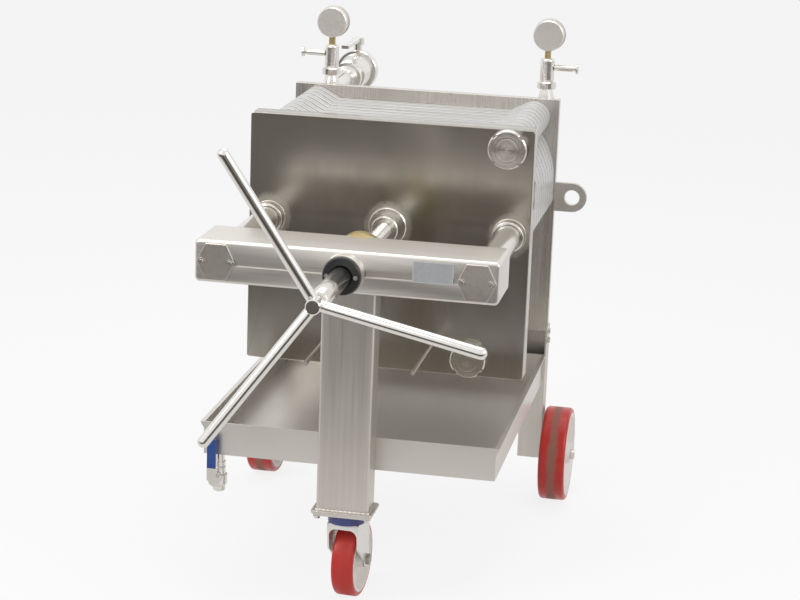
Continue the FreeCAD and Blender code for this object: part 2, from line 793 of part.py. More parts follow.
def makeScrewParts():
    bore = threadRadius + runClearance
    nut = turnedPiece("Nut", [
        (bore, beamWall * 2 - beamDepth), (barrelRadius, beamWall * 2 - beamDepth), (barrelRadius, 0),
        (nutRadius, 0), (nutRadius, nutDepth - edgeBreak), (nutRadius - edgeBreak, nutDepth),
        (bore, nutDepth),
    ], "y", (0, beamBack, axisHeight))
    node(nut, "screw_nut")
    opening = shaftRadius + runClearance
    bush = turnedPiece("Bush", [
        (opening, -padDepth - beamWall), (barrelRadius, -padDepth - beamWall), (barrelRadius, 0),
        (bushRadius, 0), (bushRadius, bushDepth - edgeBreak), (bushRadius - edgeBreak, bushDepth),
        (opening + edgeBreak, bushDepth), (opening, bushDepth - edgeBreak),
    ], "-y", (0, beamFront - padDepth, axisHeight))
    node(bush, "flange_bush")
    shaftEnd = armStation - hubBehind
    threadEnd = beamFront - followerFront + bossFloor + restGap
    screw = turnedPiece("Screw", [
        (0, threadEnd), (threadRadius - edgeBreak, threadEnd), (threadRadius, threadEnd + edgeBreak),
        (threadRadius, padDepth), (shaftRadius, padDepth), (shaftRadius, shaftEnd - edgeBreak),
        (shaftRadius - edgeBreak, shaftEnd), (0, shaftEnd),
    ], "-y", (0, beamFront, axisHeight))
    node(screw, "clamp_screw")
    hub = turnedPiece("Hub", [
        (0, -hubBehind), (hubRadius, -hubBehind), (hubRadius, hubAhead - edgeBreak),
        (hubRadius - edgeBreak, hubAhead), (0, hubAhead),
    ], "-y", (0, beamFront - armStation, axisHeight))
    pieces = [hub]
    length = slant(armSpan, armDish)
    for i, armTurn in enumerate(armTurns):
        arm = revolved("Arm%d" % i, [
            (0, 0), (armRadius, 0), (armRadius, length, armRadius, -1), (0, length + armRadius)])
        angle = math.radians(armTurn.value)
        reach = FreeCAD.Vector(armSpan.value * math.cos(angle), -armDish.value,
                               armSpan.value * math.sin(angle))
        arm.Placement.Rotation = FreeCAD.Rotation(FreeCAD.Vector(0, 0, 1), reach)
        pieces.append(place(arm, 0, beamFront - armStation, axisHeight))
    node(fused("Handwheel", pieces), "handwheel")


def makeFootPlate(name, top, width, depth, thick):
    """A square plate with rounded corners, flat under the post."""
    body = newBody(name)
    sketch = newSketch(body, name + "Outline", "XY_Plane")
    addRectangle(sketch, (-width / 2, -depth / 2), (width / 2, depth / 2))
    pad = addPad(body, name + "Sheet", sketch, thick, back=True)
    addFillet(body, name + "Corners", pad, edgesAlong(pad, "Z", thick / 2), footCorner)
    return place(body, postShift, postMiddle, top)


def makePost():
    body = newBody("Post")
    outline = newSketch(body, "PostOutline", "XY_Plane")
    addRectangle(outline, (-postWidth / 2, -postDepth / 2), (postWidth / 2, postDepth / 2))
    pad = addPad(body, "PostTube", outline, beamBottom - footTop)
    addFillet(body, "PostEdges", pad, edgesAlong(pad, "Z", postWidth), cornerRadius)
    hollow = newSketch(body, "PostHollow", "XY_Plane")
    addRectangle(hollow, (postWall - postWidth / 2, postWall - postDepth / 2),
                 (postWidth / 2 - postWall, postDepth / 2 - postWall))
    addPocket(body, "PostInside", hollow)
    node(place(body, postShift, postMiddle, footTop), "front_post")
    plates = [
        makeFootPlate("Foot", footTop, footWidth, footDepth, footThick),
        makeFootPlate("TopPlate", footBottom, footWidth - topPlateInset * 2,
                      footDepth - topPlateInset * 2, topPlateThick),
    ]
    node(fused("CastorPlates", plates), "castor_plate")


def makeTray():
    outer = makeBox("TrayOuter", (-trayWallHalf, trayFront, trayBottom),
                    (trayWallHalf * 2, trayLength, trayHeight))
    inner = makeBox("TrayInner", (traySheet - trayWallHalf, trayFront + traySheet, trayBottom + traySheet),
                    (trayWallHalf * 2 - traySheet * 2, trayLength - traySheet * 2, trayHeight))
    outlet = makeRod("TrayOutlet", "z", (-drainX, drainY, trayBottom - traySheet), drainBore,
                     traySheet * 3)
    pan = cutAway("Pan", outer, [inner, outlet])
    hems = []
    for name, side in (("HemLeft", -1), ("HemRight", 1)):
        hem = newBody(name)
        sketch = newSketch(hem, name + "Profile", "XZ_Plane")
        inside = side * (trayWallHalf - traySheet)
        addOutline(sketch, [
            (inside, trayTop), (inside, trayTop - trayHemDrop),
            (side * trayWallHalf, trayTop - trayHemDrop), (side * trayWidth / 2, trayTop - traySheet),
            (side * trayWidth / 2, trayTop),
        ])
        addPad(hem, name + "Fold", sketch, trayLength, back=True)
        hems.append(place(hem, 0, trayFront, 0))
    node(fused("Tray", [pan] + hems), "drip_tray")


def makeLegs():
    """Box legs that open to the front above the tray, with a strap up the head's side."""
    legs = []
    axles = []
    for name, side in (("LegLeft", -1), ("LegRight", 1)):
        middle = side * (legOuter - legSide / 2)
        low = middle - legSide / 2
        tube = makeBox(name + "Tube", (low, legFront, legBottom),
                       (legSide, legSide, plateBottom - legBottom))
        strapLow = side * (legOuter - legProud / 2 + restGap / 2) - (legProud - restGap) / 2
        strap = makeBox(name + "Strap", (strapLow, legFront, plateBottom - legRise),
                        (legProud - restGap, legSide, legRise * 2))
        inside = makeBox(name + "Inside", (low + legWall, legFront + legWall, legBottom + legWall),
                         (legSide - legWall * 2, legSide - legWall * 2, plateBottom - legBottom))
        window = makeBox(name + "Window", (low + legWall, legFront - legWall, trayTop),
                         (legSide - legWall * 2, legWall * 3, plateBottom - trayBottom))
        hole = makeRod(name + "Hole", "x", (middle - legSide, axleY, wheelRadius), axleRadius, legSide * 2)
        legs.append(cutAway(name, fused(name + "Blank", [tube, strap]), [inside, window, hole]))
        outward = "x" if side > 0 else "-x"
        start = legOuter - legSide
        axle = makeRod(name + "Axle", outward, (side * start, axleY, wheelRadius), axleRadius,
                       wheelX + wheelWidth / 2 + legWall - start)
        head = makeRod(name + "AxleHead", outward,
                       (side * (wheelX + wheelWidth / 2 + legWall), axleY, wheelRadius),
                       axleHeadRadius, axleHeadDepth)
        axles.append(fused(name + "AxleBolt", [axle, head]))
    node(gathered("Legs", legs), "rear_legs")
    node(gathered("Axles", axles), "rear_axles")


def wheelPieces(name, radius, width, tyre, bore, hubWide):
    """The tyre and the core of one wheel, turned about their own Z axis at the origin."""
    rim = radius - tyre
    shoulder = tyre * 0.7
    lip = radius * 0.08
    hub = bore + radius * 0.13
    tread = revolved(name + "Tyre", [
        (rim, -width / 2), (radius - shoulder, -width / 2, shoulder, -1), (radius, shoulder - width / 2),
        (radius, width / 2 - shoulder, shoulder, -1), (radius - shoulder, width / 2), (rim, width / 2),
    ])
    web = radius * 0.1
    core = revolved(name + "Core", [
        (bore, -hubWide / 2), (hub, -hubWide / 2), (hub + lip / 2, -web), (rim - lip * 2, -web),
        (rim - lip, -width / 2), (rim, -width / 2), (rim, width / 2), (rim - lip, width / 2),
        (rim - lip * 2, web), (hub + lip / 2, web), (hub, hubWide / 2), (bore, hubWide / 2),
    ])
    return tread, core


def makeWheels():
    for label, side in (("left", -1), ("right", 1)):
        pieces = wheelPieces("Wheel" + label.title(), wheelRadius, wheelWidth, wheelTyre,
                             axleRadius + runClearance, wheelWidth + hubProud * 2)
        for item, part in zip(pieces, ("tyre", "core")):
            turned(item, *turns["x"])
            place(item, side * wheelX, axleY, wheelRadius)
            node(item, "wheel_%s_%s" % (part, label))


def makeCastor():
    yaw = -castorYaw.value
    body = newBody("Fork")
    side = newSketch(body, "ForkSide", "YZ_Plane")
    shoulder = crownTop - forkEnd
    addOutline(side, [
        (-forkCrown, crownTop), (-forkCrown, shoulder), (-forkBrow, castorRadius + forkBrowRise),
        (castorTrail - forkEnd, castorRadius, forkEnd, -1),
        (castorTrail, castorRadius - forkEnd, forkEnd, -1), (castorTrail + forkEnd, castorRadius),
        (castorTrail + forkEnd / 2, shoulder), (forkCrown, crownTop),
    ])
    addPad(body, "ForkBlock", side, forkInner + forkSheet * 2, middle=True)
    inside = newSketch(body, "ForkInside", "XZ_Plane")
    half = forkInner / 2
    addOutline(inside, [
        (-half, 0), (half, 0), (half, forkRoom - forkArch, forkArch, -1), (half - forkArch, forkRoom),
        (forkArch - half, forkRoom, forkArch, -1), (-half, forkRoom - forkArch),
    ])
    addPocket(body, "ForkGap", inside)
    holes = newSketch(body, "ForkHoles", "YZ_Plane")
    addCircle(holes, castorTrail, castorRadius, castorAxle)
    addPocket(body, "ForkBores", holes)
    turned(body, (0, 0, 1), yaw)
    place(body, castorX, postMiddle, 0)
    node(body, "castor_fork")
    seal = makeRod("Seal", "z", (castorX, postMiddle, crownTop), sealRadius, sealDepth - restGap)
    node(seal, "castor_seal")
    shift = Size(math.sin(math.radians(castorYaw.value)), "sin(Sizes.castorYaw * 1deg)")
    ahead = Size(math.cos(math.radians(castorYaw.value)), "cos(Sizes.castorYaw * 1deg)")
    centreX = castorX + castorTrail * shift
    centreY = postMiddle + castorTrail * ahead
    reach = half + forkSheet + castorAxle
    bolt = makeRod("CastorBolt", "z", (0, 0, 0), castorAxle, reach * 2)
    head = doc.addObject("Part::Prism", "CastorBoltHead")
    head.Polygon = 6
    bind(head, "Circumradius", castorHead)
    bind(head, "Height", castorAxle)
    place(head, 0, 0, reach * 2 - castorAxle)
    axle = fused("CastorAxle", [bolt, head])
    across = FreeCAD.Rotation(FreeCAD.Vector(0, 0, 1), yaw).multiply(
        FreeCAD.Rotation(FreeCAD.Vector(*turns["x"][0]), turns["x"][1]))
    axle.Placement.Rotation = across
    place(axle, centreX - reach * ahead, centreY + reach * shift, castorRadius)
    node(axle, "castor_axle")
    pieces = wheelPieces("Castor", castorRadius, castorWidth, castorTyre,
                         castorAxle + runClearance, forkInner - edgeBreak)
    for item, part in zip(pieces, ("tyre", "core")):
        item.Placement.Rotation = across
        place(item, centreX, centreY, castorRadius)
        node(item, "castor_%s" % part)


def makeEyes():
    eyes = []
    inner = tieX - eyeRadius
    for name, side in (("EyeLeft", -1), ("EyeRight", 1)):
        low = (side * (inner + eyeReach) / 2 - (eyeReach - inner) / 2, headBack, axisHeight - eyeRadius)
        strap = makeBox(name + "Strap", low, (eyeReach - inner, eyeThick, eyeRadius * 2))
        disc = makeRod(name + "Disc", "y", (side * eyeReach, headBack, axisHeight), eyeRadius, eyeThick)
        cuts = []
        for part, x, radius in (("Hole", eyeReach, eyeHole), ("Seat", tieX, tieEndRadius + runClearance)):
            cuts.append(makeRod(name + part, "y", (side * x, headBack - edgeBreak, axisHeight), radius,
                                eyeThick + edgeBreak * 2))
        eyes.append(cutAway(name, fused(name + "Blank", [strap, disc]), cuts))
    node(gathered("Eyes", eyes), "lifting_eyes")


def makePipe(name, x, z, length):
    """A welded pipe with a ferrule at its free end."""
    bore = pipeRadius - pipeWall
    return turnedPiece(name, [
        (bore, 0), (pipeRadius, 0), (pipeRadius, length - ferruleDepth),
        (ferruleRadius, length - ferruleDepth / 2), (ferruleRadius, length), (bore, length),
    ], "y", (x, headBack, z))


def makePiping():
    node(makePipe("Inlet", -portTopX, pipeHeight, inletLength), "inlet_pipe")
    node(makePipe("Outlet", outletX, portTopZ, outletLength), "outlet_pipe")
    bore = pipeRadius - pipeWall
    neckEnd = clampDepth + valveNeck
    rimStart = neckEnd + valveCone
    rimEnd = rimStart + valveRim
    bodyRadius = (clampRadius + valveRadius) / 2
    body = turnedPiece("ValveBody", [
        (bore, 0), (clampRadius, 0), (clampRadius, clampDepth), (ferruleRadius, clampDepth + edgeBreak),
        (ferruleRadius, neckEnd - edgeBreak), (clampRadius, neckEnd),
        (bodyRadius - edgeBreak, rimStart - clampDepth), (bodyRadius, rimStart),
        (valveRadius - edgeBreak, rimStart), (valveRadius, rimStart + edgeBreak),
        (valveRadius, rimEnd - edgeBreak), (valveRadius - edgeBreak, rimEnd), (ferruleRadius, rimEnd),
        (ferruleRadius, rimEnd + valveTail), (socketRadius, rimEnd + valveTail),
        (socketRadius, rimStart), (bore, rimStart),
    ], "y", (-portTopX, inletEnd, pipeHeight))
    neck = makeRod("ValveNeck", "z", (-portTopX, leverY, pipeHeight + bodyRadius), valveStem,
                   leverBottom - pipeHeight - bodyRadius)
    node(fused("Valve", [body, neck]), "inlet_valve")
    hub = makeRod("LeverHub", "z", (-portTopX, leverY, leverBottom + restGap), leverHub, leverHubDepth)
    grip = makeBox("LeverGrip", (-portTopX - leverWidth / 2, leverY - leverLength,
                                 leverBottom + restGap + leverHubDepth - leverThick),
                   (leverWidth, leverLength, leverThick))
    node(fused("InletLever", [hub, grip]), "inlet_lever")


def makeGauges():
    tees, taps, stems, gauges = [], [], [], []
    ringTop = ringBottom + ringDepth
    for name, side, x, pipe in (("Left", -1, -portTopX, pipeHeight), ("Right", 1, outletX, portTopZ)):
        seat = pipe + root(pipeRadius, teeRadius)
        base = turnedPiece("TeeBody" + name, [
            (0, seat), (teeRadius + edgeBreak, seat), (teeRadius - edgeBreak, ringBottom),
            (ringRadius - edgeBreak, ringBottom), (ringRadius, ringBottom + edgeBreak),
            (ringRadius, ringTop - edgeBreak), (ringRadius - edgeBreak, ringTop),
            (teeRadius - edgeBreak, ringTop), (teeRadius, ringTop + edgeBreak * 2),
            (teeRadius, teeTop - teeShoulder, teeShoulder, -1), (teeRadius - teeShoulder, teeTop),
            (0, teeTop),
        ], "z", (x, gaugeY, 0))
        room = makeRod("TeeRoom" + name, "y", (x, gaugeY - ringRadius * 2, pipe), pipeRadius,
                       ringRadius * 4)
        tees.append(cutAway("Tee" + name, base, [room]))
        outward = "x" if side > 0 else "-x"
        neck = tapReach - edgeBreak * 3
        taps.append(turnedPiece("Tap" + name, [
            (0, teeRadius), (tapRadius, teeRadius), (tapRadius, neck - tapRadius),
            (tapRadius - edgeBreak, neck), (tapDisc, neck + edgeBreak), (tapDisc, tapReach),
            (0, tapReach),
        ], outward, (x, gaugeY, tapHeight)))
        stems.append(makeBox("Stem" + name, (x - stemSide / 2, gaugeY - stemSide / 2, teeTop),
                             (stemSide, stemSide, stemLength - restGap)))
        front = gaugeDepth / 2 + bezelDepth
        gauges.append(turnedPiece("Gauge" + name, [
            (0, -gaugeDepth / 2), (gaugeRadius - edgeBreak, -gaugeDepth / 2),
            (gaugeRadius, edgeBreak - gaugeDepth / 2), (gaugeRadius, gaugeDepth / 2),
            (bezelRadius, gaugeDepth / 2), (bezelRadius, front - edgeBreak),
            (bezelRadius - edgeBreak, front), (gaugeRadius - edgeBreak, front),
            (gaugeRadius - edgeBreak, front - glassDepth), (0, front - glassDepth),
        ], "y", (x, gaugeY, gaugeHeight)))
    node(gathered("Tees", tees), "gauge_tees")
    node(gathered("Taps", taps), "sample_taps")
    node(gathered("Stems", stems), "gauge_stems")
    node(gathered("Gauges", gauges), "pressure_gauges")


def makeDrain():
    x = -drainX
    collar = drainRadius + edgeBreak
    collarEnd = drainNeck + collarDepth
    chestEnd = collarEnd + chestDepth
    ballEnd = chestEnd + ballDepth
    body = turnedPiece("DrainBody", [
        (drainBore, 0), (drainRadius, 0), (drainRadius, drainNeck), (collar, drainNeck),
        (collar, collarEnd - edgeBreak), (drainRadius, collarEnd - edgeBreak), (drainRadius, collarEnd),
        (collar, collarEnd + edgeBreak), (collar, chestEnd), (ballRadius, chestEnd + edgeBreak),
        (ballRadius, ballEnd - edgeBreak * 2), (collar, ballEnd), (collar, drainDrop - edgeBreak),
        (collar - edgeBreak, drainDrop), (drainBore, drainDrop),
    ], "-z", (x, drainY, trayBottom))
    stemEnd = drainSetback + leverHubDepth
    boss = makeRod("DrainStem", "-y", (x, drainY - ballRadius + edgeBreak, drainPivot), valveStem,
                   stemEnd - ballRadius + edgeBreak)
    node(fused("Drain", [body, boss]), "drain_valve")
    hubY = drainY - stemEnd - restGap
    disc = makeRod("DrainHub", "-y", (x, hubY, drainPivot), valveStem + edgeBreak, drainLeverThick)
    bar = makeBox("DrainBar", (x - drainLeverShift - drainLeverWidth / 2, hubY - drainLeverThick, drainPivot),
                  (drainLeverWidth, drainLeverThick, drainLeverStart + drainLeverLength))
    node(fused("DrainLever", [disc, bar]), "drain_lever")


makeHead()
makeFollower()
for number in range(1, filterCount + 1):
    makeFilterPlate(number)
makeBeam()
makeTieBars()
makeCovers()
makeScrewParts()
makePost()
makeTray()
makeLegs()
makeWheels()
makeCastor()
makeEyes()
makePiping()
makeGauges()
makeDrain()

doc.recompute()
faults = []
for item in doc.Objects:
    if "Invalid" in item.State or "Error" in item.State:
        faults.append(item.Name)
for item in nodes:
    if item.Shape.isNull() or not item.Shape.isValid():
        faults.append(item.Label)
if faults:
    raise RuntimeError("faulty objects: %s" % ", ".join(faults))

os.makedirs("parts", exist_ok=True)
for item in nodes:
    item.Shape.exportStep("parts/%s.step" % item.Label)
print("%d nodes written" % len(nodes))
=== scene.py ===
import json
import math
import bmesh
import bpy
from mathutils import Matrix, Vector


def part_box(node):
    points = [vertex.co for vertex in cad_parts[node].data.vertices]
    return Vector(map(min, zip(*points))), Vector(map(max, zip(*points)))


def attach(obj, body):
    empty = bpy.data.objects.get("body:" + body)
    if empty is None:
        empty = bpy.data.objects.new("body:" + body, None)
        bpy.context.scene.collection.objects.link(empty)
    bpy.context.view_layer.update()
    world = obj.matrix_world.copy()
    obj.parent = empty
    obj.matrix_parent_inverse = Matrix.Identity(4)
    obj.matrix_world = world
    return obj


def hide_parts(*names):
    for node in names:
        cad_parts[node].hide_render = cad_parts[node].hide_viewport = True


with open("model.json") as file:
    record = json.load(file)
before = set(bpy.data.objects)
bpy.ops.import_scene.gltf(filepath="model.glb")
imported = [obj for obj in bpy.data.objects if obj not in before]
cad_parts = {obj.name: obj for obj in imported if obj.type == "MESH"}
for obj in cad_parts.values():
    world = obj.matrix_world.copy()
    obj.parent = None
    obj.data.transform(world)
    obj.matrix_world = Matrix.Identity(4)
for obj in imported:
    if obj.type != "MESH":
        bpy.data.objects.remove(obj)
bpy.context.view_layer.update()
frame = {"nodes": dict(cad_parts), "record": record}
record = frame["record"]
print("frame loaded:", len(frame["nodes"]), "nodes")


# one socket of a node tree, so that maths on it reads as maths
class Signal:
    def __init__(self, tree, socket):
        self.tree = tree
        self.socket = socket

    def work(self, operation, *others):
        values = dict(enumerate((self,) + others))
        return self.tree.add("ShaderNodeMath", {"operation": operation}, values).out(0)

    def __add__(self, other):
        return self.work("ADD", other)

    __radd__ = __add__

    def __sub__(self, other):
        return self.work("SUBTRACT", other)

    def __rsub__(self, other):
        return (self * -1).work("ADD", other)

    def __mul__(self, other):
        return self.work("MULTIPLY", other)

    __rmul__ = __mul__

    def __truediv__(self, other):
        return self.work("DIVIDE", other)


class Joined:
    def __init__(self, tree, node):
        self.tree = tree
        self.node = node

    def out(self, key):
        return Signal(self.tree, self.node.outputs[key])


class Surface:
    def __init__(self, name, tree=None):
        self.material = None
        if tree is None:
            self.material = bpy.data.materials.new(name)
            self.material.use_nodes = True
            tree = self.material.node_tree
        self.tree = tree
        self.tree.nodes.clear()

    def add(self, kind, settings=None, values=None):
        node = self.tree.nodes.new(kind)
        for key, value in (settings or {}).items():
            setattr(node, key, value)
        for key, value in (values or {}).items():
            if isinstance(value, Signal):
                self.tree.links.new(value.socket, node.inputs[key])
            else:
                node.inputs[key].default_value = value
        return Joined(self, node)

    # object coordinates, moved to a centre and then stretched
    def place(self, stretch=(1, 1, 1), centre=(0, 0, 0)):
        where = self.add("ShaderNodeTexCoord").out("Object")
        moved = self.add("ShaderNodeVectorMath", {"operation": "SUBTRACT"}, {0: where, 1: centre}).out(0)
        return self.add("ShaderNodeVectorMath", {"operation": "MULTIPLY"}, {0: moved, 1: stretch}).out(0)

    def axis(self, key):
        where = self.add("ShaderNodeTexCoord").out("Object")
        return self.add("ShaderNodeSeparateXYZ", None, {0: where}).out(key.upper())

    def noise(self, where, scale, detail=4.0, roughness=0.55):
        values = {"Vector": where, "Scale": scale, "Detail": detail, "Roughness": roughness}
        return self.add("ShaderNodeTexNoise", {"noise_dimensions": "3D"}, values).out("Fac")

    # distance from an axis line through a centre
    def around(self, axis, centre):
        flat = {"x": (0, 1, 1), "y": (1, 0, 1), "z": (1, 1, 0)}[axis]
        values = {0: self.place(flat, centre)}
        return self.add("ShaderNodeVectorMath", {"operation": "LENGTH"}, values).out("Value")

    # carries low..high of a value to start..end and stops at the ends
    def ramp(self, value, low, high, start=0.0, end=1.0):
        values = {"Value": value, "From Min": low, "From Max": high, "To Min": start, "To Max": end}
        return self.add("ShaderNodeMapRange", {"clamp": True}, values).out(0)

    # one inside low..high of a value, with soft edges
    def band(self, value, low, high, edge):
        return self.ramp(value, low - edge, low) * self.ramp(value, high, high + edge, 1.0, 0.0)

    def blend(self, factor, first, second):
        values = {0: factor, 6: first, 7: second}
        return self.add("ShaderNodeMix", {"data_type": "RGBA"}, values).out(2)

    def bump(self, height, strength, distance):
        values = {"Height": height, "Strength": strength, "Distance": distance}
        return self.add("ShaderNodeBump", None, values).out(0)

    def finish(self, values):
        shader = self.add("ShaderNodeBsdfPrincipled", None, values).out(0)
        self.add("ShaderNodeOutputMaterial", None, {"Surface": shader})
        return self.material


def rgb(red, green, blue):
    return (red, green, blue, 1.0)


steelTone = {
    "bright": rgb(0.78, 0.76, 0.73),
    "light": rgb(0.70, 0.67, 0.625),
    "mid": rgb(0.60, 0.565, 0.52),
    "dark": rgb(0.30, 0.275, 0.24),
    "stain": rgb(0.36, 0.32, 0.26),
}
grainStretch = {"x": (4, 260, 260), "y": (260, 4, 260), "z": (260, 260, 4), "none": (150, 150, 150)}
bandStretch = {"x": (0.6, 14, 14), "y": (14, 0.6, 14), "z": (14, 14, 0.6), "none": (9, 9, 9)}


# grain is the direction that the brushing runs in: x, y, z or none
def brushedSteel(name, grain, rough, tone, metal=1.0, depth=0.2, patchy=0.05, stain=0.2):
    surface = Surface(name)
    lines = surface.noise(surface.place(grainStretch[grain]), 1.0, 3.0, 0.6)
    bands = surface.noise(surface.place(bandStretch[grain]), 1.0, 3.0, 0.5)
    cloud = surface.noise(surface.place(), 5.0, 5.0, 0.6)
    colour = surface.blend(surface.ramp(lines, 0.35, 0.65, 0.0, 0.4), steelTone[tone], steelTone["light"])
    colour = surface.blend(surface.ramp(cloud, 0.52, 0.78, 0.0, stain), colour, steelTone["stain"])
    roughness = surface.ramp(bands, 0.3, 0.7, rough - patchy, rough + patchy)
    roughness = roughness + surface.ramp(lines, 0.3, 0.7, -0.03, 0.03)
    return surface.finish({
        "Base Color": colour, "Metallic": metal, "Roughness": roughness,
        "Normal": surface.bump(lines, depth, 0.0003)})


# fine rings about an axis, as the lathe leaves them
def turnedSteel(name, axis, centres, rough=0.22, tone="light", pitch=700):
    surface = Surface(name)
    radius = surface.around(axis, centres[0])
    for centre in centres[1:]:
        radius = radius.work("MINIMUM", surface.around(axis, centre))
    column = surface.add("ShaderNodeCombineXYZ", None, {0: radius * pitch}).out(0)
    rings = surface.noise(column, 1.0, 2.0, 0.5)
    broad = surface.noise(surface.add("ShaderNodeCombineXYZ", None, {0: radius * (pitch / 6)}).out(0), 1.0, 1.0)
    colour = surface.blend(surface.ramp(broad, 0.35, 0.65), steelTone["mid"], steelTone[tone])
    roughness = surface.ramp(rings, 0.3, 0.7, rough - 0.05, rough + 0.07)
    return surface.finish({
        "Base Color": colour, "Metallic": 1.0, "Roughness": roughness,
        "Normal": surface.bump(rings, 0.5, 0.0004)})


def plainPlastic(name, base, second, rough=0.45, scale=30.0, grain=0.1, coat=0.0):
    surface = Surface(name)
    cloud = surface.noise(surface.place(), scale, 5.0, 0.6)
    fine = surface.noise(surface.place(), 900.0, 2.0, 0.5)
    colour = surface.blend(surface.ramp(cloud, 0.35, 0.7), base, second)
    roughness = surface.ramp(cloud, 0.3, 0.7, rough - 0.05, rough + 0.08)
    return surface.finish({
        "Base Color": colour, "Roughness": roughness, "Coat Weight": coat,
        "Normal": surface.bump(fine, grain, 0.0002)})


# red polyurethane with a scuffed band round the middle of the tread
def tyreFinish(name, axis, centre, middle, half, worn):
    surface = Surface(name)
    cloud = surface.noise(surface.place(), 22.0, 5.0, 0.65)
    fine = surface.noise(surface.place(), 420.0, 3.0, 0.6)
    radius = surface.around(axis, centre)
    tread = surface.ramp(radius, worn["radius"] - 0.006, worn["radius"] - 0.002)
    offset = (surface.axis(axis) - middle).work("ABSOLUTE")
    edge = offset + surface.ramp(cloud, 0.3, 0.7, -0.004, 0.004)
    strip = surface.ramp(edge, half * worn["inner"], half * worn["outer"], 1.0, 0.0) * tread
    colour = surface.blend(surface.ramp(cloud, 0.35, 0.7), rgb(0.62, 0.020, 0.012), rgb(0.52, 0.022, 0.015))
    dirt = strip * surface.ramp(fine, 0.25, 0.6, 0.55, 0.95) * worn["strength"]
    colour = surface.blend(dirt, colour, rgb(0.26, 0.17, 0.125))
    roughness = surface.ramp(strip, 0.0, 1.0, 0.30, 0.62) + surface.ramp(cloud, 0.3, 0.7, -0.03, 0.05)
    return surface.finish({
        "Base Color": colour, "Roughness": roughness, "Normal": surface.bump(fine, 0.15, 0.0003)})


boxOf = {name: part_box(name) for name in frame["nodes"]}


def middleOf(name):
    low, high = boxOf[name]
    return (low + high) / 2


caps = boxOf["port_caps"]
capCentres = [
    (caps[1].x - 0.039, caps[0].y, caps[1].z - 0.039),
    (caps[0].x + 0.0365, caps[0].y, caps[0].z + 0.0365),
]
weldHalo = {"tie": 0.031, "boss": 0.038, "reach": 0.002, "fade": 0.014}


# rolled plate with ground patches and a little heat tint round the welded sleeves and boss
def followerFinish():
    surface = Surface("rolledPlate")
    axis = middleOf("clamp_screw").z
    tie = (boxOf["tie_bars"][1].x - boxOf["tie_bars"][0].x) / 2 - 0.025
    cloud = surface.noise(surface.place((1, 1, 0.6)), 5.0, 5.0, 0.6)
    grit = surface.noise(surface.place(), 160.0, 4.0, 0.7)
    streaks = surface.noise(surface.place((26, 26, 1.2)), 1.0, 3.0, 0.55)
    halo = None
    for x, radius in ((-tie, weldHalo["tie"]), (0, weldHalo["boss"]), (tie, weldHalo["tie"])):
        away = surface.around("y", (x, 0, axis)) + surface.ramp(cloud, 0.3, 0.7, -0.010, 0.010)
        start = radius + weldHalo["reach"]
        ring = surface.ramp(away, start, start + weldHalo["fade"], 1.0, 0.0)
        halo = ring if halo is None else halo.work("MAXIMUM", ring)
    ground = halo * surface.ramp(grit, 0.3, 0.6, 0.45, 1.0)
    colour = surface.blend(surface.ramp(streaks, 0.35, 0.7), rgb(0.48, 0.455, 0.41), rgb(0.42, 0.395, 0.35))
    colour = surface.blend(surface.ramp(cloud, 0.55, 0.75, 0.0, 0.4), colour, rgb(0.40, 0.36, 0.30))
    colour = surface.blend(ground * 0.35, colour, rgb(0.60, 0.54, 0.45))
    roughness = surface.ramp(streaks, 0.3, 0.7, 0.17, 0.23) + surface.ramp(ground, 0.0, 1.0, 0.0, 0.24)
    return surface.finish({
        "Base Color": colour, "Metallic": 1.0, "Roughness": roughness,
        "Normal": surface.bump(grit * halo + streaks * 0.04, 0.4, 0.0008)})


metals = {
    "follower": followerFinish(),
    "head": brushedSteel("headPlate", "z", 0.26, "mid", 1.0, 0.05, 0.04, 0.3),
    "beam": brushedSteel("brushedBeam", "x", 0.34, "light", 1.0, 0.15, 0.03, 0.1),
    "cover": brushedSteel("coverSheet", "none", 0.34, "mid", 1.0, 0.05, 0.02, 0.1),
    "eye": brushedSteel("eyeSheet", "none", 0.40, "mid", 1.0, 0.1, 0.03, 0.3),
    "post": brushedSteel("brushedPost", "z", 0.36, "mid", 1.0, 0.2, 0.03, 0.12),
    "leg": brushedSteel("brushedLeg", "z", 0.42, "mid", 0.9, 0.2, 0.04, 0.15),
    "tray": brushedSteel("traySheet", "y", 0.36, "light", 1.0, 0.1, 0.03, 0.1),
    "gauge": brushedSteel("gaugeCase", "none", 0.38, "light", 1.0, 0.02, 0.02, 0.0),
    "bar": brushedSteel("groundBar", "y", 0.15, "bright", 1.0, 0.06, 0.04, 0.1),
    "sleeve": brushedSteel("sleeveTube", "y", 0.22, "light", 1.0, 0.08, 0.04, 0.1),
    "fitting": brushedSteel("castFitting", "none", 0.17, "bright", 1.0, 0.05, 0.05, 0.1),
    "arm": brushedSteel("polishedArm", "none", 0.10, "bright", 1.0, 0.03, 0.03, 0.05),
    "zinc": brushedSteel("zincSheet", "none", 0.30, "bright", 0.85, 0.15, 0.05, 0.1),
    "screwHead": brushedSteel("screwHead", "none", 0.24, "light", 1.0, 0.1, 0.04, 0.15),
    "darkHead": brushedSteel("axleHead", "none", 0.35, "dark", 1.0, 0.2, 0.05, 0.6),
    "weld": brushedSteel("weldBead", "none", 0.36, "mid", 1.0, 0.6, 0.08, 0.5),
    "cap": turnedSteel("turnedCap", "y", capCentres, 0.16, "light", 2600),
    "disc": turnedSteel("turnedBoss", "y", [(0, 0, middleOf("clamp_screw").z)], 0.22, "light", 900),
}
bronze = Surface("turnedBronze")
bronzeCloud = bronze.noise(bronze.place(), 40.0)
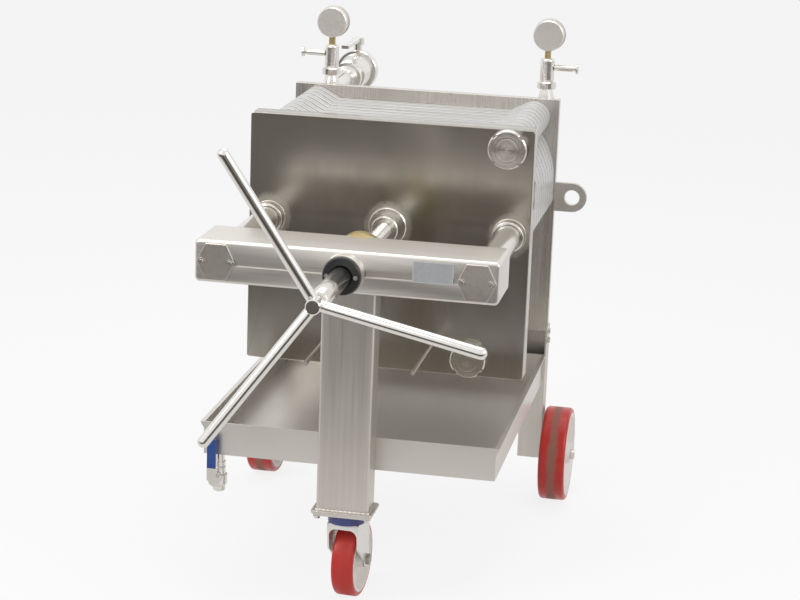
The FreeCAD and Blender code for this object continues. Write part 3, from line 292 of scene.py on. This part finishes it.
bronzeMaterial = bronze.finish({
    "Base Color": bronze.blend(bronze.ramp(bronzeCloud, 0.3, 0.7), rgb(0.50, 0.38, 0.16), rgb(0.62, 0.50, 0.27)),
    "Metallic": 1.0,
    "Roughness": bronze.ramp(bronzeCloud, 0.3, 0.7, 0.24, 0.36),
    "Normal": bronze.bump(bronzeCloud, 0.1, 0.0003)})
blackPlastic = plainPlastic("blackNylon", rgb(0.012, 0.012, 0.013), rgb(0.022, 0.022, 0.023), 0.38, 60.0)
leverGrip = {"start": 0.036, "edge": 0.0006}


# blue sleeve over the end of the drain lever, bare steel round its hub
def leverFinish():
    surface = Surface("leverGrip")
    start = boxOf["drain_lever"][0].z + leverGrip["start"]
    grip = surface.ramp(surface.axis("z"), start - leverGrip["edge"], start)
    cloud = surface.noise(surface.place(), 60.0, 5.0, 0.6)
    blue = surface.blend(surface.ramp(cloud, 0.35, 0.7), rgb(0.015, 0.055, 0.26), rgb(0.02, 0.08, 0.34))
    return surface.finish({
        "Base Color": surface.blend(grip, steelTone["light"], blue), "Metallic": 1 - grip,
        "Roughness": surface.ramp(cloud, 0.3, 0.7, 0.24, 0.36), "Normal": surface.bump(cloud, 0.1, 0.0003)})


blueSeal = plainPlastic("blueSeal", rgb(0.055, 0.065, 0.22), rgb(0.045, 0.05, 0.17), 0.30, 60.0)
ivoryCore = plainPlastic("ivoryCore", rgb(0.92, 0.88, 0.84), rgb(0.87, 0.82, 0.77), 0.42, 14.0)


# white plates with painted shade: a dark line at each face of a plate, where the gap between neighbouring plates
# falls, and a dark line through the middle at its sheet
def plateFinish():
    surface = Surface("platePlastic")
    plate = boxOf["filter_plate_01"]
    pitch = boxOf["filter_plate_02"][0].y - plate[0].y
    across = (surface.axis("y") - plate[0].y) / pitch
    step = across.work("FRACT")
    # painted gap shade at the faces of each plate, plus the dark line at the sheet in the middle
    gapShadeAndSheetLine = surface.band(step, 0.47, 0.52, 0.012) + surface.ramp(step, 0.03, 0.06, 1.0, 0.0)
    gapShadeAndSheetLine = gapShadeAndSheetLine + surface.ramp(step, 0.93, 0.955)
    cloud = surface.noise(surface.place(), 16.0, 5.0, 0.6)
    fine = surface.noise(surface.place((60, 600, 60)), 1.0, 3.0, 0.5)
    colour = surface.blend(surface.ramp(cloud, 0.35, 0.7), rgb(0.70, 0.69, 0.67), rgb(0.62, 0.61, 0.59))
    # the painted gap shade and the sheet line darken the plate colour towards near black
    colour = surface.blend(surface.ramp(gapShadeAndSheetLine, 0.0, 1.0, 0.0, 0.9), colour, rgb(0.05, 0.05, 0.05))
    return surface.finish({
        "Base Color": colour,
        "Roughness": surface.ramp(cloud, 0.3, 0.7, 0.26, 0.36),
        "Normal": surface.bump(fine, 0.04, 0.0003)})


whitePlastic = plateFinish()


def wheelFinish(name, axis, worn):
    centre = middleOf(name)
    low, high = boxOf[name]
    half = (high[0] - low[0]) / 2
    return tyreFinish("tyre" + name.title().replace("_", ""), axis, centre, centre[0], half, worn)


rearWorn = {"radius": 0.100, "inner": 0.16, "outer": 0.42, "strength": 0.9}
frontWorn = {"radius": 0.073, "inner": 0.2, "outer": 0.7, "strength": 0.12}
tyres = {
    "wheel_tyre_left": wheelFinish("wheel_tyre_left", "x", rearWorn),
    "wheel_tyre_right": wheelFinish("wheel_tyre_right", "x", rearWorn),
    "castor_tyre": wheelFinish("castor_tyre", "x", frontWorn),
}

nodeFinish = {
    "head_plate": metals["head"], "follower_plate": metals["follower"], "crossbeam": metals["beam"],
    "beam_covers": metals["cover"], "front_post": metals["post"], "castor_plate": metals["post"],
    "rear_legs": metals["leg"], "drip_tray": metals["tray"], "tie_bars": metals["sleeve"],
    "clamp_screw": metals["sleeve"], "handwheel": metals["arm"], "castor_fork": metals["zinc"],
    "castor_axle": metals["darkHead"], "rear_axles": metals["screwHead"], "screw_boss": metals["disc"],
    "port_caps": metals["cap"], "screw_nut": bronzeMaterial, "gauge_stems": bronzeMaterial,
    "flange_bush": blackPlastic, "castor_seal": blueSeal, "drain_lever": leverFinish(),
    "pressure_gauges": metals["gauge"], "lifting_eyes": metals["eye"], "sample_taps": metals["sleeve"],
    **tyres,
}
for name, item in frame["nodes"].items():
    finish = nodeFinish.get(name, metals["fitting"])
    if name.startswith("filter_plate"):
        finish = whitePlastic
    if "core" in name:
        finish = ivoryCore
    item.data.materials.clear()
    item.data.materials.append(finish)
print("finishes given to the nodes")

screwAxis = middleOf("clamp_screw").z
beamFront = boxOf["beam_covers"][1].y
bodyOf = {}
for bodyName, members in record["behaviour"]["bodies"].items():
    for member in members:
        bodyOf[member] = bodyName


def fitPiece(name, mesh, finish, body, stands=()):
    piece = bpy.data.objects.new(name, mesh)
    bpy.context.collection.objects.link(piece)
    if finish is not None:
        mesh.materials.clear()
        mesh.materials.append(finish)
    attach(piece, body)
    if stands:
        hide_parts(*stands)
    return piece


def meshFrom(name, work, smooth=True):
    bmesh.ops.remove_doubles(work, verts=work.verts, dist=0.00001)
    bmesh.ops.recalc_face_normals(work, faces=work.faces)
    for face in work.faces:
        face.smooth = smooth
    mesh = bpy.data.meshes.new(name)
    work.to_mesh(mesh)
    work.free()
    return mesh


def addBevel(piece, width, segments=2, angle=30):
    bevel = piece.modifiers.new("roundedEdges", "BEVEL")
    bevel.width = width
    bevel.segments = segments
    bevel.limit_method = "ANGLE"
    bevel.angle_limit = math.radians(angle)
    bevel.use_clamp_overlap = True
    return piece


plateRim = {"half": 0.011, "wide": 0.0154}


# brings the rims of neighbouring plates close together, as their seals do
def widenRim(work):
    middle = sum(vertex.co.y for vertex in work.verts) / len(work.verts)
    for vertex in work.verts:
        away = vertex.co.y - middle
        if abs(abs(away) - plateRim["half"]) < 0.0005:
            vertex.co.y = middle + math.copysign(plateRim["wide"], away)


# a node's own shape with its sharp edges rounded, which gives them their bright lines
def roundEdges(name, width, finish=None, segments=2):
    work = bmesh.new()
    work.from_mesh(frame["nodes"][name].data)
    bmesh.ops.remove_doubles(work, verts=work.verts, dist=0.00001)
    bmesh.ops.dissolve_limit(work, angle_limit=math.radians(0.6), verts=work.verts, edges=work.edges)
    bmesh.ops.recalc_face_normals(work, faces=work.faces)
    for face in work.faces:
        angles = [edge.calc_face_angle(0) for edge in face.edges]
        face.smooth = any(0.01 < angle < 0.52 for angle in angles)
    if name.startswith("filter_plate"):
        widenRim(work)
    mesh = bpy.data.meshes.new(name + "Rounded")
    work.to_mesh(mesh)
    work.free()
    title = "".join(word.title() for word in name.split("_"))
    finish = finish or frame["nodes"][name].data.materials[0]
    piece = fitPiece(title[0].lower() + title[1:], mesh, finish, bodyOf[name], (name,))
    return addBevel(piece, width, segments)


edgeWidths = {
    "follower_plate": 0.0016, "head_plate": 0.0012, "crossbeam": 0.0010, "beam_covers": 0.0010,
    "castor_plate": 0.0014, "drip_tray": 0.0006, "rear_legs": 0.0010, "castor_fork": 0.0010,
    "tie_nuts": 0.0015, "lifting_eyes": 0.0012, "port_caps": 0.0008, "castor_axle": 0.0008,
}
for index in range(1, 11):
    edgeWidths["filter_plate_%02d" % index] = 0.0010
for name, width in edgeWidths.items():
    roundEdges(name, width)
print("edges rounded on", len(edgeWidths), "nodes")


# a turned shape from (radius, along) points; radius nought closes a pole
def addTurned(work, points, origin, axis, sides=48):
    ways = {
        "x": (Vector((1, 0, 0)), Vector((0, 1, 0)), Vector((0, 0, 1))),
        "y": (Vector((0, 1, 0)), Vector((0, 0, 1)), Vector((1, 0, 0))),
        "z": (Vector((0, 0, 1)), Vector((1, 0, 0)), Vector((0, 1, 0))),
    }
    along, first, second = ways[axis.strip("-")]
    if axis.startswith("-"):
        along = -along
    origin = Vector(origin)
    rings = []
    for radius, reach in points:
        centre = origin + along * reach
        if radius == 0:
            rings.append([work.verts.new(centre)])
            continue
        ring = []
        for i in range(sides):
            turn = 2 * math.pi * i / sides
            ring.append(work.verts.new(centre + (first * math.cos(turn) + second * math.sin(turn)) * radius))
        rings.append(ring)
    closed = points[0][0] != 0 or points[-1][0] != 0
    pairs = list(zip(rings, rings[1:] + rings[:1])) if closed else list(zip(rings, rings[1:]))
    for near, far in pairs:
        for i in range(sides):
            j = (i + 1) % sides
            corners = [near[i % len(near)], near[j % len(near)], far[j % len(far)], far[i % len(far)]]
            unique = []
            for corner in corners:
                if corner not in unique:
                    unique.append(corner)
            if len(unique) > 2:
                work.faces.new(unique)


# a round bead laid along a closed path, with the ripples of a weld
def addBead(work, path, radius, sides=8, ripple=0.18):
    count = len(path)
    rings = []
    for i, point in enumerate(path):
        ahead = (path[(i + 1) % count] - path[i - 1]).normalized()
        side = ahead.cross(Vector((0.13, 0.27, 0.95))).normalized()
        up = side.cross(ahead)
        size = radius * (1 - ripple * (i % 3) / 2)
        ring = []
        for k in range(sides):
            turn = 2 * math.pi * k / sides
            ring.append(work.verts.new(point + (side * math.cos(turn) + up * math.sin(turn)) * size))
        rings.append(ring)
    for near, far in zip(rings, rings[1:] + rings[:1]):
        for k in range(sides):
            work.faces.new((near[k], near[(k + 1) % sides], far[(k + 1) % sides], far[k]))


def circlePath(centre, radius, axis, step):
    count = max(12, round(2 * math.pi * radius / step))
    first, second = {
        "x": (Vector((0, 1, 0)), Vector((0, 0, 1))),
        "y": (Vector((0, 0, 1)), Vector((1, 0, 0))),
        "z": (Vector((1, 0, 0)), Vector((0, 1, 0))),
    }[axis]
    turns = [2 * math.pi * i / count for i in range(count)]
    return [Vector(centre) + (first * math.cos(t) + second * math.sin(t)) * radius for t in turns]


def boxPath(low, high, height, step):
    corners = [Vector((low.x, low.y, height)), Vector((high.x, low.y, height)),
               Vector((high.x, high.y, height)), Vector((low.x, high.y, height))]
    path = []
    for start, end in zip(corners, corners[1:] + corners[:1]):
        count = max(2, round((end - start).length / step))
        path += [start.lerp(end, i / count) for i in range(count)]
    return path


# Geometry Nodes tree: one screw on each point, turned to the point's own direction
def makeScrewTree():
    tree = bpy.data.node_groups.new("screwSet", "GeometryNodeTree")
    face = tree.interface
    face.new_socket("Geometry", in_out="INPUT", socket_type="NodeSocketGeometry")
    sockets = {}
    for key in ("Head Radius", "Head Height", "Washer Radius", "Washer Height"):
        sockets[key] = face.new_socket(key, in_out="INPUT", socket_type="NodeSocketFloat").identifier
    sockets["Sides"] = face.new_socket("Sides", in_out="INPUT", socket_type="NodeSocketInt").identifier
    sockets["Finish"] = face.new_socket("Finish", in_out="INPUT", socket_type="NodeSocketMaterial").identifier
    face.new_socket("Geometry", in_out="OUTPUT", socket_type="NodeSocketGeometry")
    work = Surface("screwSet", tree)
    given = work.add("NodeGroupInput")

    def disc(sides, radius, depth, base):
        cylinder = work.add("GeometryNodeMeshCylinder", {"fill_type": "NGON"}, {
            "Vertices": sides, "Radius": radius, "Depth": depth}).out("Mesh")
        lift = work.add("ShaderNodeCombineXYZ", None, {2: depth * 0.5 + base}).out(0)
        return work.add("GeometryNodeTransform", None, {"Geometry": cylinder, "Translation": lift}).out(0)

    washer = disc(24, given.out("Washer Radius"), given.out("Washer Height"), 0.0)
    head = disc(given.out("Sides"), given.out("Head Radius"), given.out("Head Height"),
                given.out("Washer Height"))
    join = work.add("GeometryNodeJoinGeometry")
    tree.links.new(washer.socket, join.node.inputs[0])
    tree.links.new(head.socket, join.node.inputs[0])
    facing = work.add("GeometryNodeInputNamedAttribute", {"data_type": "FLOAT_VECTOR"}, {"Name": "facing"})
    turn = work.add("FunctionNodeAlignRotationToVector", {"axis": "Z"}, {"Vector": facing.out(0)}).out(0)
    placed = work.add("GeometryNodeInstanceOnPoints", None, {
        "Points": given.out("Geometry"), "Instance": join.out(0), "Rotation": turn}).out(0)
    real = work.add("GeometryNodeRealizeInstances", None, {0: placed}).out(0)
    dressed = work.add("GeometryNodeSetMaterial", None, {
        "Geometry": real, "Material": given.out("Finish")}).out(0)
    work.add("NodeGroupOutput", None, {0: dressed})
    return tree, sockets


screwTree, screwSockets = makeScrewTree()


# places is a list of (point, direction) pairs
def fitScrews(name, places, size, body, finish, rounding=0.0004):
    mesh = bpy.data.meshes.new(name + "Points")
    mesh.from_pydata([place for place, facing in places], [], [])
    facing = mesh.attributes.new("facing", "FLOAT_VECTOR", "POINT")
    for i, (place, way) in enumerate(places):
        facing.data[i].vector = way
    points = bpy.data.objects.new(name + "Points", mesh)
    bpy.context.collection.objects.link(points)
    modifier = points.modifiers.new("screws", "NODES")
    modifier.node_group = screwTree
    given = {
        "Head Radius": size["head"], "Head Height": size["height"], "Washer Radius": size["washer"],
        "Washer Height": size["sheet"], "Sides": size["sides"], "Finish": finish}
    for key, value in given.items():
        modifier[screwSockets[key]] = value
    bpy.context.view_layer.update()
    evaluated = points.evaluated_get(bpy.context.evaluated_depsgraph_get())
    result = bpy.data.meshes.new_from_object(evaluated)
    result.name = name
    bpy.data.objects.remove(points)
    work = bmesh.new()
    work.from_mesh(result)
    bpy.data.meshes.remove(result)
    mesh = meshFrom(name, work, smooth=False)
    mesh.materials.append(finish)
    piece = fitPiece(name, mesh, finish, body)
    addBevel(piece, rounding, 2)
    return piece


forward = Vector((0, -1, 0))
coverScrew = {
    "head": 0.0045, "height": 0.0028, "washer": 0.0068, "sheet": 0.0008, "sides": 6, "inset": 0.0095}
coverLow, coverHigh = boxOf["beam_covers"]
coverReach = 0.0365
coverMiddles = (coverLow.x + coverReach, coverHigh.x - coverReach)
coverPlaces = []
for middle in coverMiddles:
    for side in (-1, 1):
        reach = side * (coverReach - coverScrew["inset"])
        coverPlaces.append(((middle + reach, coverLow.y, screwAxis), forward))
fitScrews("coverScrews", coverPlaces, coverScrew, "frame", metals["screwHead"])

bushScrew = {
    "head": 0.0042, "height": 0.0016, "washer": 0.0001, "sheet": 0.0001, "sides": 12, "across": 0.027}
bushFront = boxOf["flange_bush"][0].y
bushPlaces = [((side * bushScrew["across"], bushFront, screwAxis), forward) for side in (-1, 1)]
fitScrews("bushScrews", bushPlaces, bushScrew, "frame", metals["screwHead"])

bossScrew = {
    "head": 0.0042, "height": 0.0030, "washer": 0.0001, "sheet": 0.0001, "sides": 6,
    "circle": 0.0325, "flange": 0.008}
bossBack = boxOf["screw_boss"][1].y
bossPlaces = []
for i in range(4):
    turn = math.radians(45 + 90 * i)
    bossPlaces.append(((bossScrew["circle"] * math.cos(turn), bossBack - bossScrew["flange"],
                        screwAxis + bossScrew["circle"] * math.sin(turn)), forward))
fitScrews("bossScrews", bossPlaces, bossScrew, "follower", metals["screwHead"])

plateBolt = {
    "head": 0.0060, "height": 0.0050, "washer": 0.0078, "sheet": 0.0012, "sides": 6, "inset": 0.011}
plateLow, plateHigh = boxOf["castor_plate"]
down = Vector((0, 0, -1))
plateBoltPlaces = []
for x in (plateLow.x + plateBolt["inset"], plateHigh.x - plateBolt["inset"]):
    for y in (plateLow.y + plateBolt["inset"], plateHigh.y - plateBolt["inset"]):
        plateBoltPlaces.append(((x, y, plateLow.z), down))
fitScrews("castorPlateBolts", plateBoltPlaces, plateBolt, "frame", metals["screwHead"])

legBolt = {
    "head": 0.0065, "height": 0.0052, "washer": 0.0090, "sheet": 0.0014, "sides": 6, "down": 0.007,
    "from": 0.012}
legLow, legHigh = boxOf["rear_legs"]
legBoltPlaces = []
for side, x in ((-1, legLow.x), (1, legHigh.x)):
    for drop in (legBolt["down"], legBolt["down"] + 0.020):
        place = (x, (legLow.y + 0.010), legHigh.z - drop)
        legBoltPlaces.append((place, Vector((side, 0, 0))))
fitScrews("legBolts", legBoltPlaces, legBolt, "frame", metals["screwHead"])
print("screws fitted")

# a bare plate for the maker's data, left empty
dataPlate = {"left": 0.124, "right": 0.199, "bottom": -0.008, "top": 0.032, "thick": 0.0008}


def makeDataPlate():
    work = bmesh.new()
    low = Vector((dataPlate["left"], beamFront - dataPlate["thick"], screwAxis + dataPlate["bottom"]))
    high = Vector((dataPlate["right"], beamFront + 0.0004, screwAxis + dataPlate["top"]))
    matrix = Matrix.Translation((low + high) / 2) @ Matrix.Diagonal((*(high - low), 1))
    bmesh.ops.create_cube(work, size=1, matrix=matrix)
    surface = Surface("plateFoil")
    where = surface.place((1, 1, 1), (low + high) / 2)
    parts = surface.add("ShaderNodeSeparateXYZ", None, {0: where})
    sideways = parts.out("X").work("ABSOLUTE")
    upright = parts.out("Z").work("ABSOLUTE")
    half = (high - low) / 2
    rim = surface.ramp(sideways, half.x - 0.0022, half.x - 0.0016)
    rim = rim.work("MAXIMUM", surface.ramp(upright, half.z - 0.0022, half.z - 0.0016))
    cloud = surface.noise(surface.place(), 120.0, 4.0, 0.6)
    colour = surface.blend(surface.ramp(cloud, 0.3, 0.7), rgb(0.44, 0.45, 0.46), rgb(0.50, 0.51, 0.52))
    colour = surface.blend(rim * 0.7, colour, rgb(0.66, 0.66, 0.66))
    finish = surface.finish({
        "Base Color": colour, "Metallic": 0.25, "Roughness": surface.ramp(cloud, 0.3, 0.7, 0.36, 0.48),
        "Normal": surface.bump(cloud + rim * 0.6, 0.12, 0.0002)})
    piece = fitPiece("dataPlate", meshFrom("dataPlate", work, smooth=False), finish, "frame")
    addBevel(piece, 0.0003, 2)


makeDataPlate()

# weld beads where the sleeves and the post join their plates
weld = {"step": 0.0028, "sleeve": 0.0024, "post": 0.0030}
followerFace = boxOf["screw_boss"][1].y
tieX = (boxOf["tie_bars"][1].x - boxOf["tie_bars"][0].x) / 2 - 0.025
sleeveRadius = 0.031


def makeWelds():
    work = bmesh.new()
    for x in (-tieX, tieX):
        addBead(work, circlePath((x, followerFace, screwAxis), sleeveRadius + 0.0008, "y", weld["step"]),
                weld["sleeve"])
    fitPiece("sleeveWelds", meshFrom("sleeveWelds", work), metals["weld"], "follower")
    work = bmesh.new()
    low, high = boxOf["front_post"]
    addBead(work, boxPath(low, high, boxOf["castor_plate"][1].z, weld["step"]), weld["post"])
    fitPiece("postWelds", meshFrom("postWelds", work), metals["weld"], "frame")


makeWelds()

# bright turned ends of the sleeves
sleeveEnd = {"inner": 0.0254, "outer": 0.0305, "proud": 0.0012}


def makeTurnedEnds():
    work = bmesh.new()
    face = boxOf["follower_plate"][0].y
    ring = [(sleeveEnd["inner"], 0.0006), (sleeveEnd["inner"], -sleeveEnd["proud"] * 0.5),
            (sleeveEnd["inner"] + 0.0008, -sleeveEnd["proud"]),
            (sleeveEnd["outer"] - 0.0008, -sleeveEnd["proud"]),
            (sleeveEnd["outer"], -sleeveEnd["proud"] * 0.3), (sleeveEnd["outer"], 0.0006)]
    for x in (-tieX, tieX):
        addTurned(work, ring, (x, face, screwAxis), "y", 64)
    fitPiece("sleeveRings", meshFrom("sleeveRings", work), metals["fitting"], "follower")


makeTurnedEnds()

thread = {"pitch": 0.006, "outer": 0.0149, "inner": 0.0122, "crest": 0.35, "flank": 0.15, "sides": 36}


# the screw with its sleeve end and a trapezoidal thread cut along the rest
def makeScrew():
    low, high = boxOf["clamp_screw"]
    shaft = (high.x - low.x) / 2
    start = boxOf["crossbeam"][0].y
    work = bmesh.new()
    addTurned(work, [(0, 0), (shaft - 0.002, 0), (shaft, 0.002), (shaft, start - low.y - 0.0001),
                     (thread["inner"], start - low.y), (0, start - low.y)], (0, low.y, screwAxis), "y", 64)
    steps = thread["sides"]
    turns = (high.y - start) / thread["pitch"]
    count = int(turns * steps)
    shape = [(0, thread["inner"]), (0.5 - thread["crest"] / 2 - thread["flank"], thread["inner"]),
             (0.5 - thread["crest"] / 2, thread["outer"]), (0.5 + thread["crest"] / 2, thread["outer"]),
             (0.5 + thread["crest"] / 2 + thread["flank"], thread["inner"])]
    rows = []
    for i in range(count - steps):
        turn = 2 * math.pi * i / steps
        row = []
        for share, radius in shape:
            along = start + thread["pitch"] * (i / steps + share)
            row.append(work.verts.new((radius * math.sin(turn), along, screwAxis + radius * math.cos(turn))))
        rows.append(row)
    for near, far in zip(rows, rows[1:]):
        for k in range(len(shape) - 1):
            work.faces.new((near[k], near[k + 1], far[k + 1], far[k]))
    for i in range(len(rows) - steps):
        j = i + steps
        if j + 1 < len(rows):
            work.faces.new((rows[i][-1], rows[j][0], rows[j + 1][0], rows[i + 1][-1]))
    addTurned(work, [(0, -0.004), (thread["inner"], -0.004), (thread["outer"] - 0.001, 0), (0, 0)],
              (0, high.y, screwAxis), "y", thread["sides"])
    fitPiece("clampScrew", meshFrom("clampScrew", work), metals["sleeve"], "screw",
             ("clamp_screw",))


makeScrew()
print("welds and screw made")


cameraPlace = {
    "x": 0.8226, "ahead": 3.8721, "height": 1.6509,
    "turn": 10.53, "down": 14.79, "roll": 2.11, "lens": 101.46,
}


def aimCamera():
    turn, down, roll = (math.radians(cameraPlace[key]) for key in ("turn", "down", "roll"))
    ahead = Vector((-math.sin(turn) * math.cos(down), math.cos(turn) * math.cos(down), -math.sin(down)))
    right = Vector((math.cos(turn), math.sin(turn), 0))
    up = right.cross(ahead)
    across = right * math.cos(roll) + up * math.sin(roll)
    above = up * math.cos(roll) - right * math.sin(roll)
    camera = bpy.data.objects.new("camera", bpy.data.cameras.new("camera"))
    camera.data.lens = cameraPlace["lens"]
    camera.data.sensor_width = 36
    camera.data.clip_end = 60
    matrix = Matrix((across, above, -ahead)).transposed().to_4x4()
    matrix.translation = (cameraPlace["x"], beamFront - cameraPlace["ahead"], cameraPlace["height"])
    camera.matrix_world = matrix
    bpy.context.collection.objects.link(camera)
    bpy.context.scene.camera = camera


def addLamp(name, place, aim, width, height, power):
    lamp = bpy.data.lights.new(name, "AREA")
    lamp.shape = "RECTANGLE"
    lamp.size = width
    lamp.size_y = height
    lamp.energy = power
    item = bpy.data.objects.new(name, lamp)
    item.location = place
    item.rotation_euler = (Vector(aim) - Vector(place)).to_track_quat("-Z", "Y").to_euler()
    bpy.context.collection.objects.link(item)


# distances in front of the beam; the dark part is what the upright faces mirror
floorTone = {
    "reach": 14.0, "shadow": 0.16, "nearEnd": 0.75, "darkStart": 1.35, "stripe": 3.3, "stripeHalf": 0.12,
    "near": rgb(0.86, 0.85, 0.84), "dark": rgb(0.095, 0.085, 0.075), "light": rgb(0.55, 0.53, 0.50),
}


def makeFloor():
    reach = floorTone["reach"]
    corners = [(-reach, -reach, 0), (reach, -reach, 0), (reach, reach, 0), (-reach, reach, 0)]
    mesh = bpy.data.meshes.new("floor")
    mesh.from_pydata(corners, [], [(0, 1, 2, 3)])
    floor = bpy.data.objects.new("floor", mesh)
    bpy.context.collection.objects.link(floor)
    surface = Surface("paleFloor")
    rays = surface.add("ShaderNodeLightPath")
    away = beamFront - surface.axis("y")
    far = surface.ramp(away, floorTone["nearEnd"], floorTone["darkStart"])
    stripe = surface.band(away, floorTone["stripe"] - floorTone["stripeHalf"],
                          floorTone["stripe"] + floorTone["stripeHalf"], 0.35)
    mirrored = surface.blend(far, floorTone["near"], floorTone["dark"])
    mirrored = surface.blend(stripe, mirrored, floorTone["light"])
    colour = surface.blend(rays.out("Is Glossy Ray"), rgb(1, 1, 1), mirrored)
    seen = surface.add("ShaderNodeEmission", None, {"Color": colour, "Strength": 1.0}).out(0)
    lit = surface.add("ShaderNodeBsdfDiffuse", None, {"Color": rgb(0.85, 0.85, 0.85)}).out(0)
    plain = rays.out("Is Camera Ray") * (1 - floorTone["shadow"])
    direct = plain + rays.out("Is Glossy Ray") + rays.out("Is Transmission Ray")
    mixed = surface.add("ShaderNodeMixShader", None, {0: direct, 1: lit, 2: seen}).out(0)
    surface.add("ShaderNodeOutputMaterial", None, {"Surface": mixed})
    mesh.materials.append(surface.material)


def makeSky():
    world = bpy.data.worlds.new("studio")
    bpy.context.scene.world = world
    world.use_nodes = True
    sky = Surface("studio", world.node_tree)
    rays = sky.add("ShaderNodeLightPath")
    direct = rays.out("Is Camera Ray") + rays.out("Is Glossy Ray") + rays.out("Is Transmission Ray")
    colour = sky.blend(direct, rgb(0.42, 0.42, 0.43), rgb(1, 1, 1))
    background = sky.add("ShaderNodeBackground", None, {"Color": colour, "Strength": 1.0}).out(0)
    sky.add("ShaderNodeOutputWorld", None, {"Surface": background})


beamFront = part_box("beam_covers")[1].y
aimCamera()
addLamp("keyLamp", (-2.2, -2.6, 3.0), (0, 0, 0.5), 2.0, 2.0, 55)
addLamp("sideLamp", (3.0, -1.0, 2.2), (0, 0, 0.5), 1.6, 1.6, 25)
addLamp("topLamp", (0, 0.6, 3.6), (0, 0, 0.4), 2.4, 2.4, 40)
makeFloor()
makeSky()
bpy.context.scene.view_settings.view_transform = "Standard"
print("studio set")
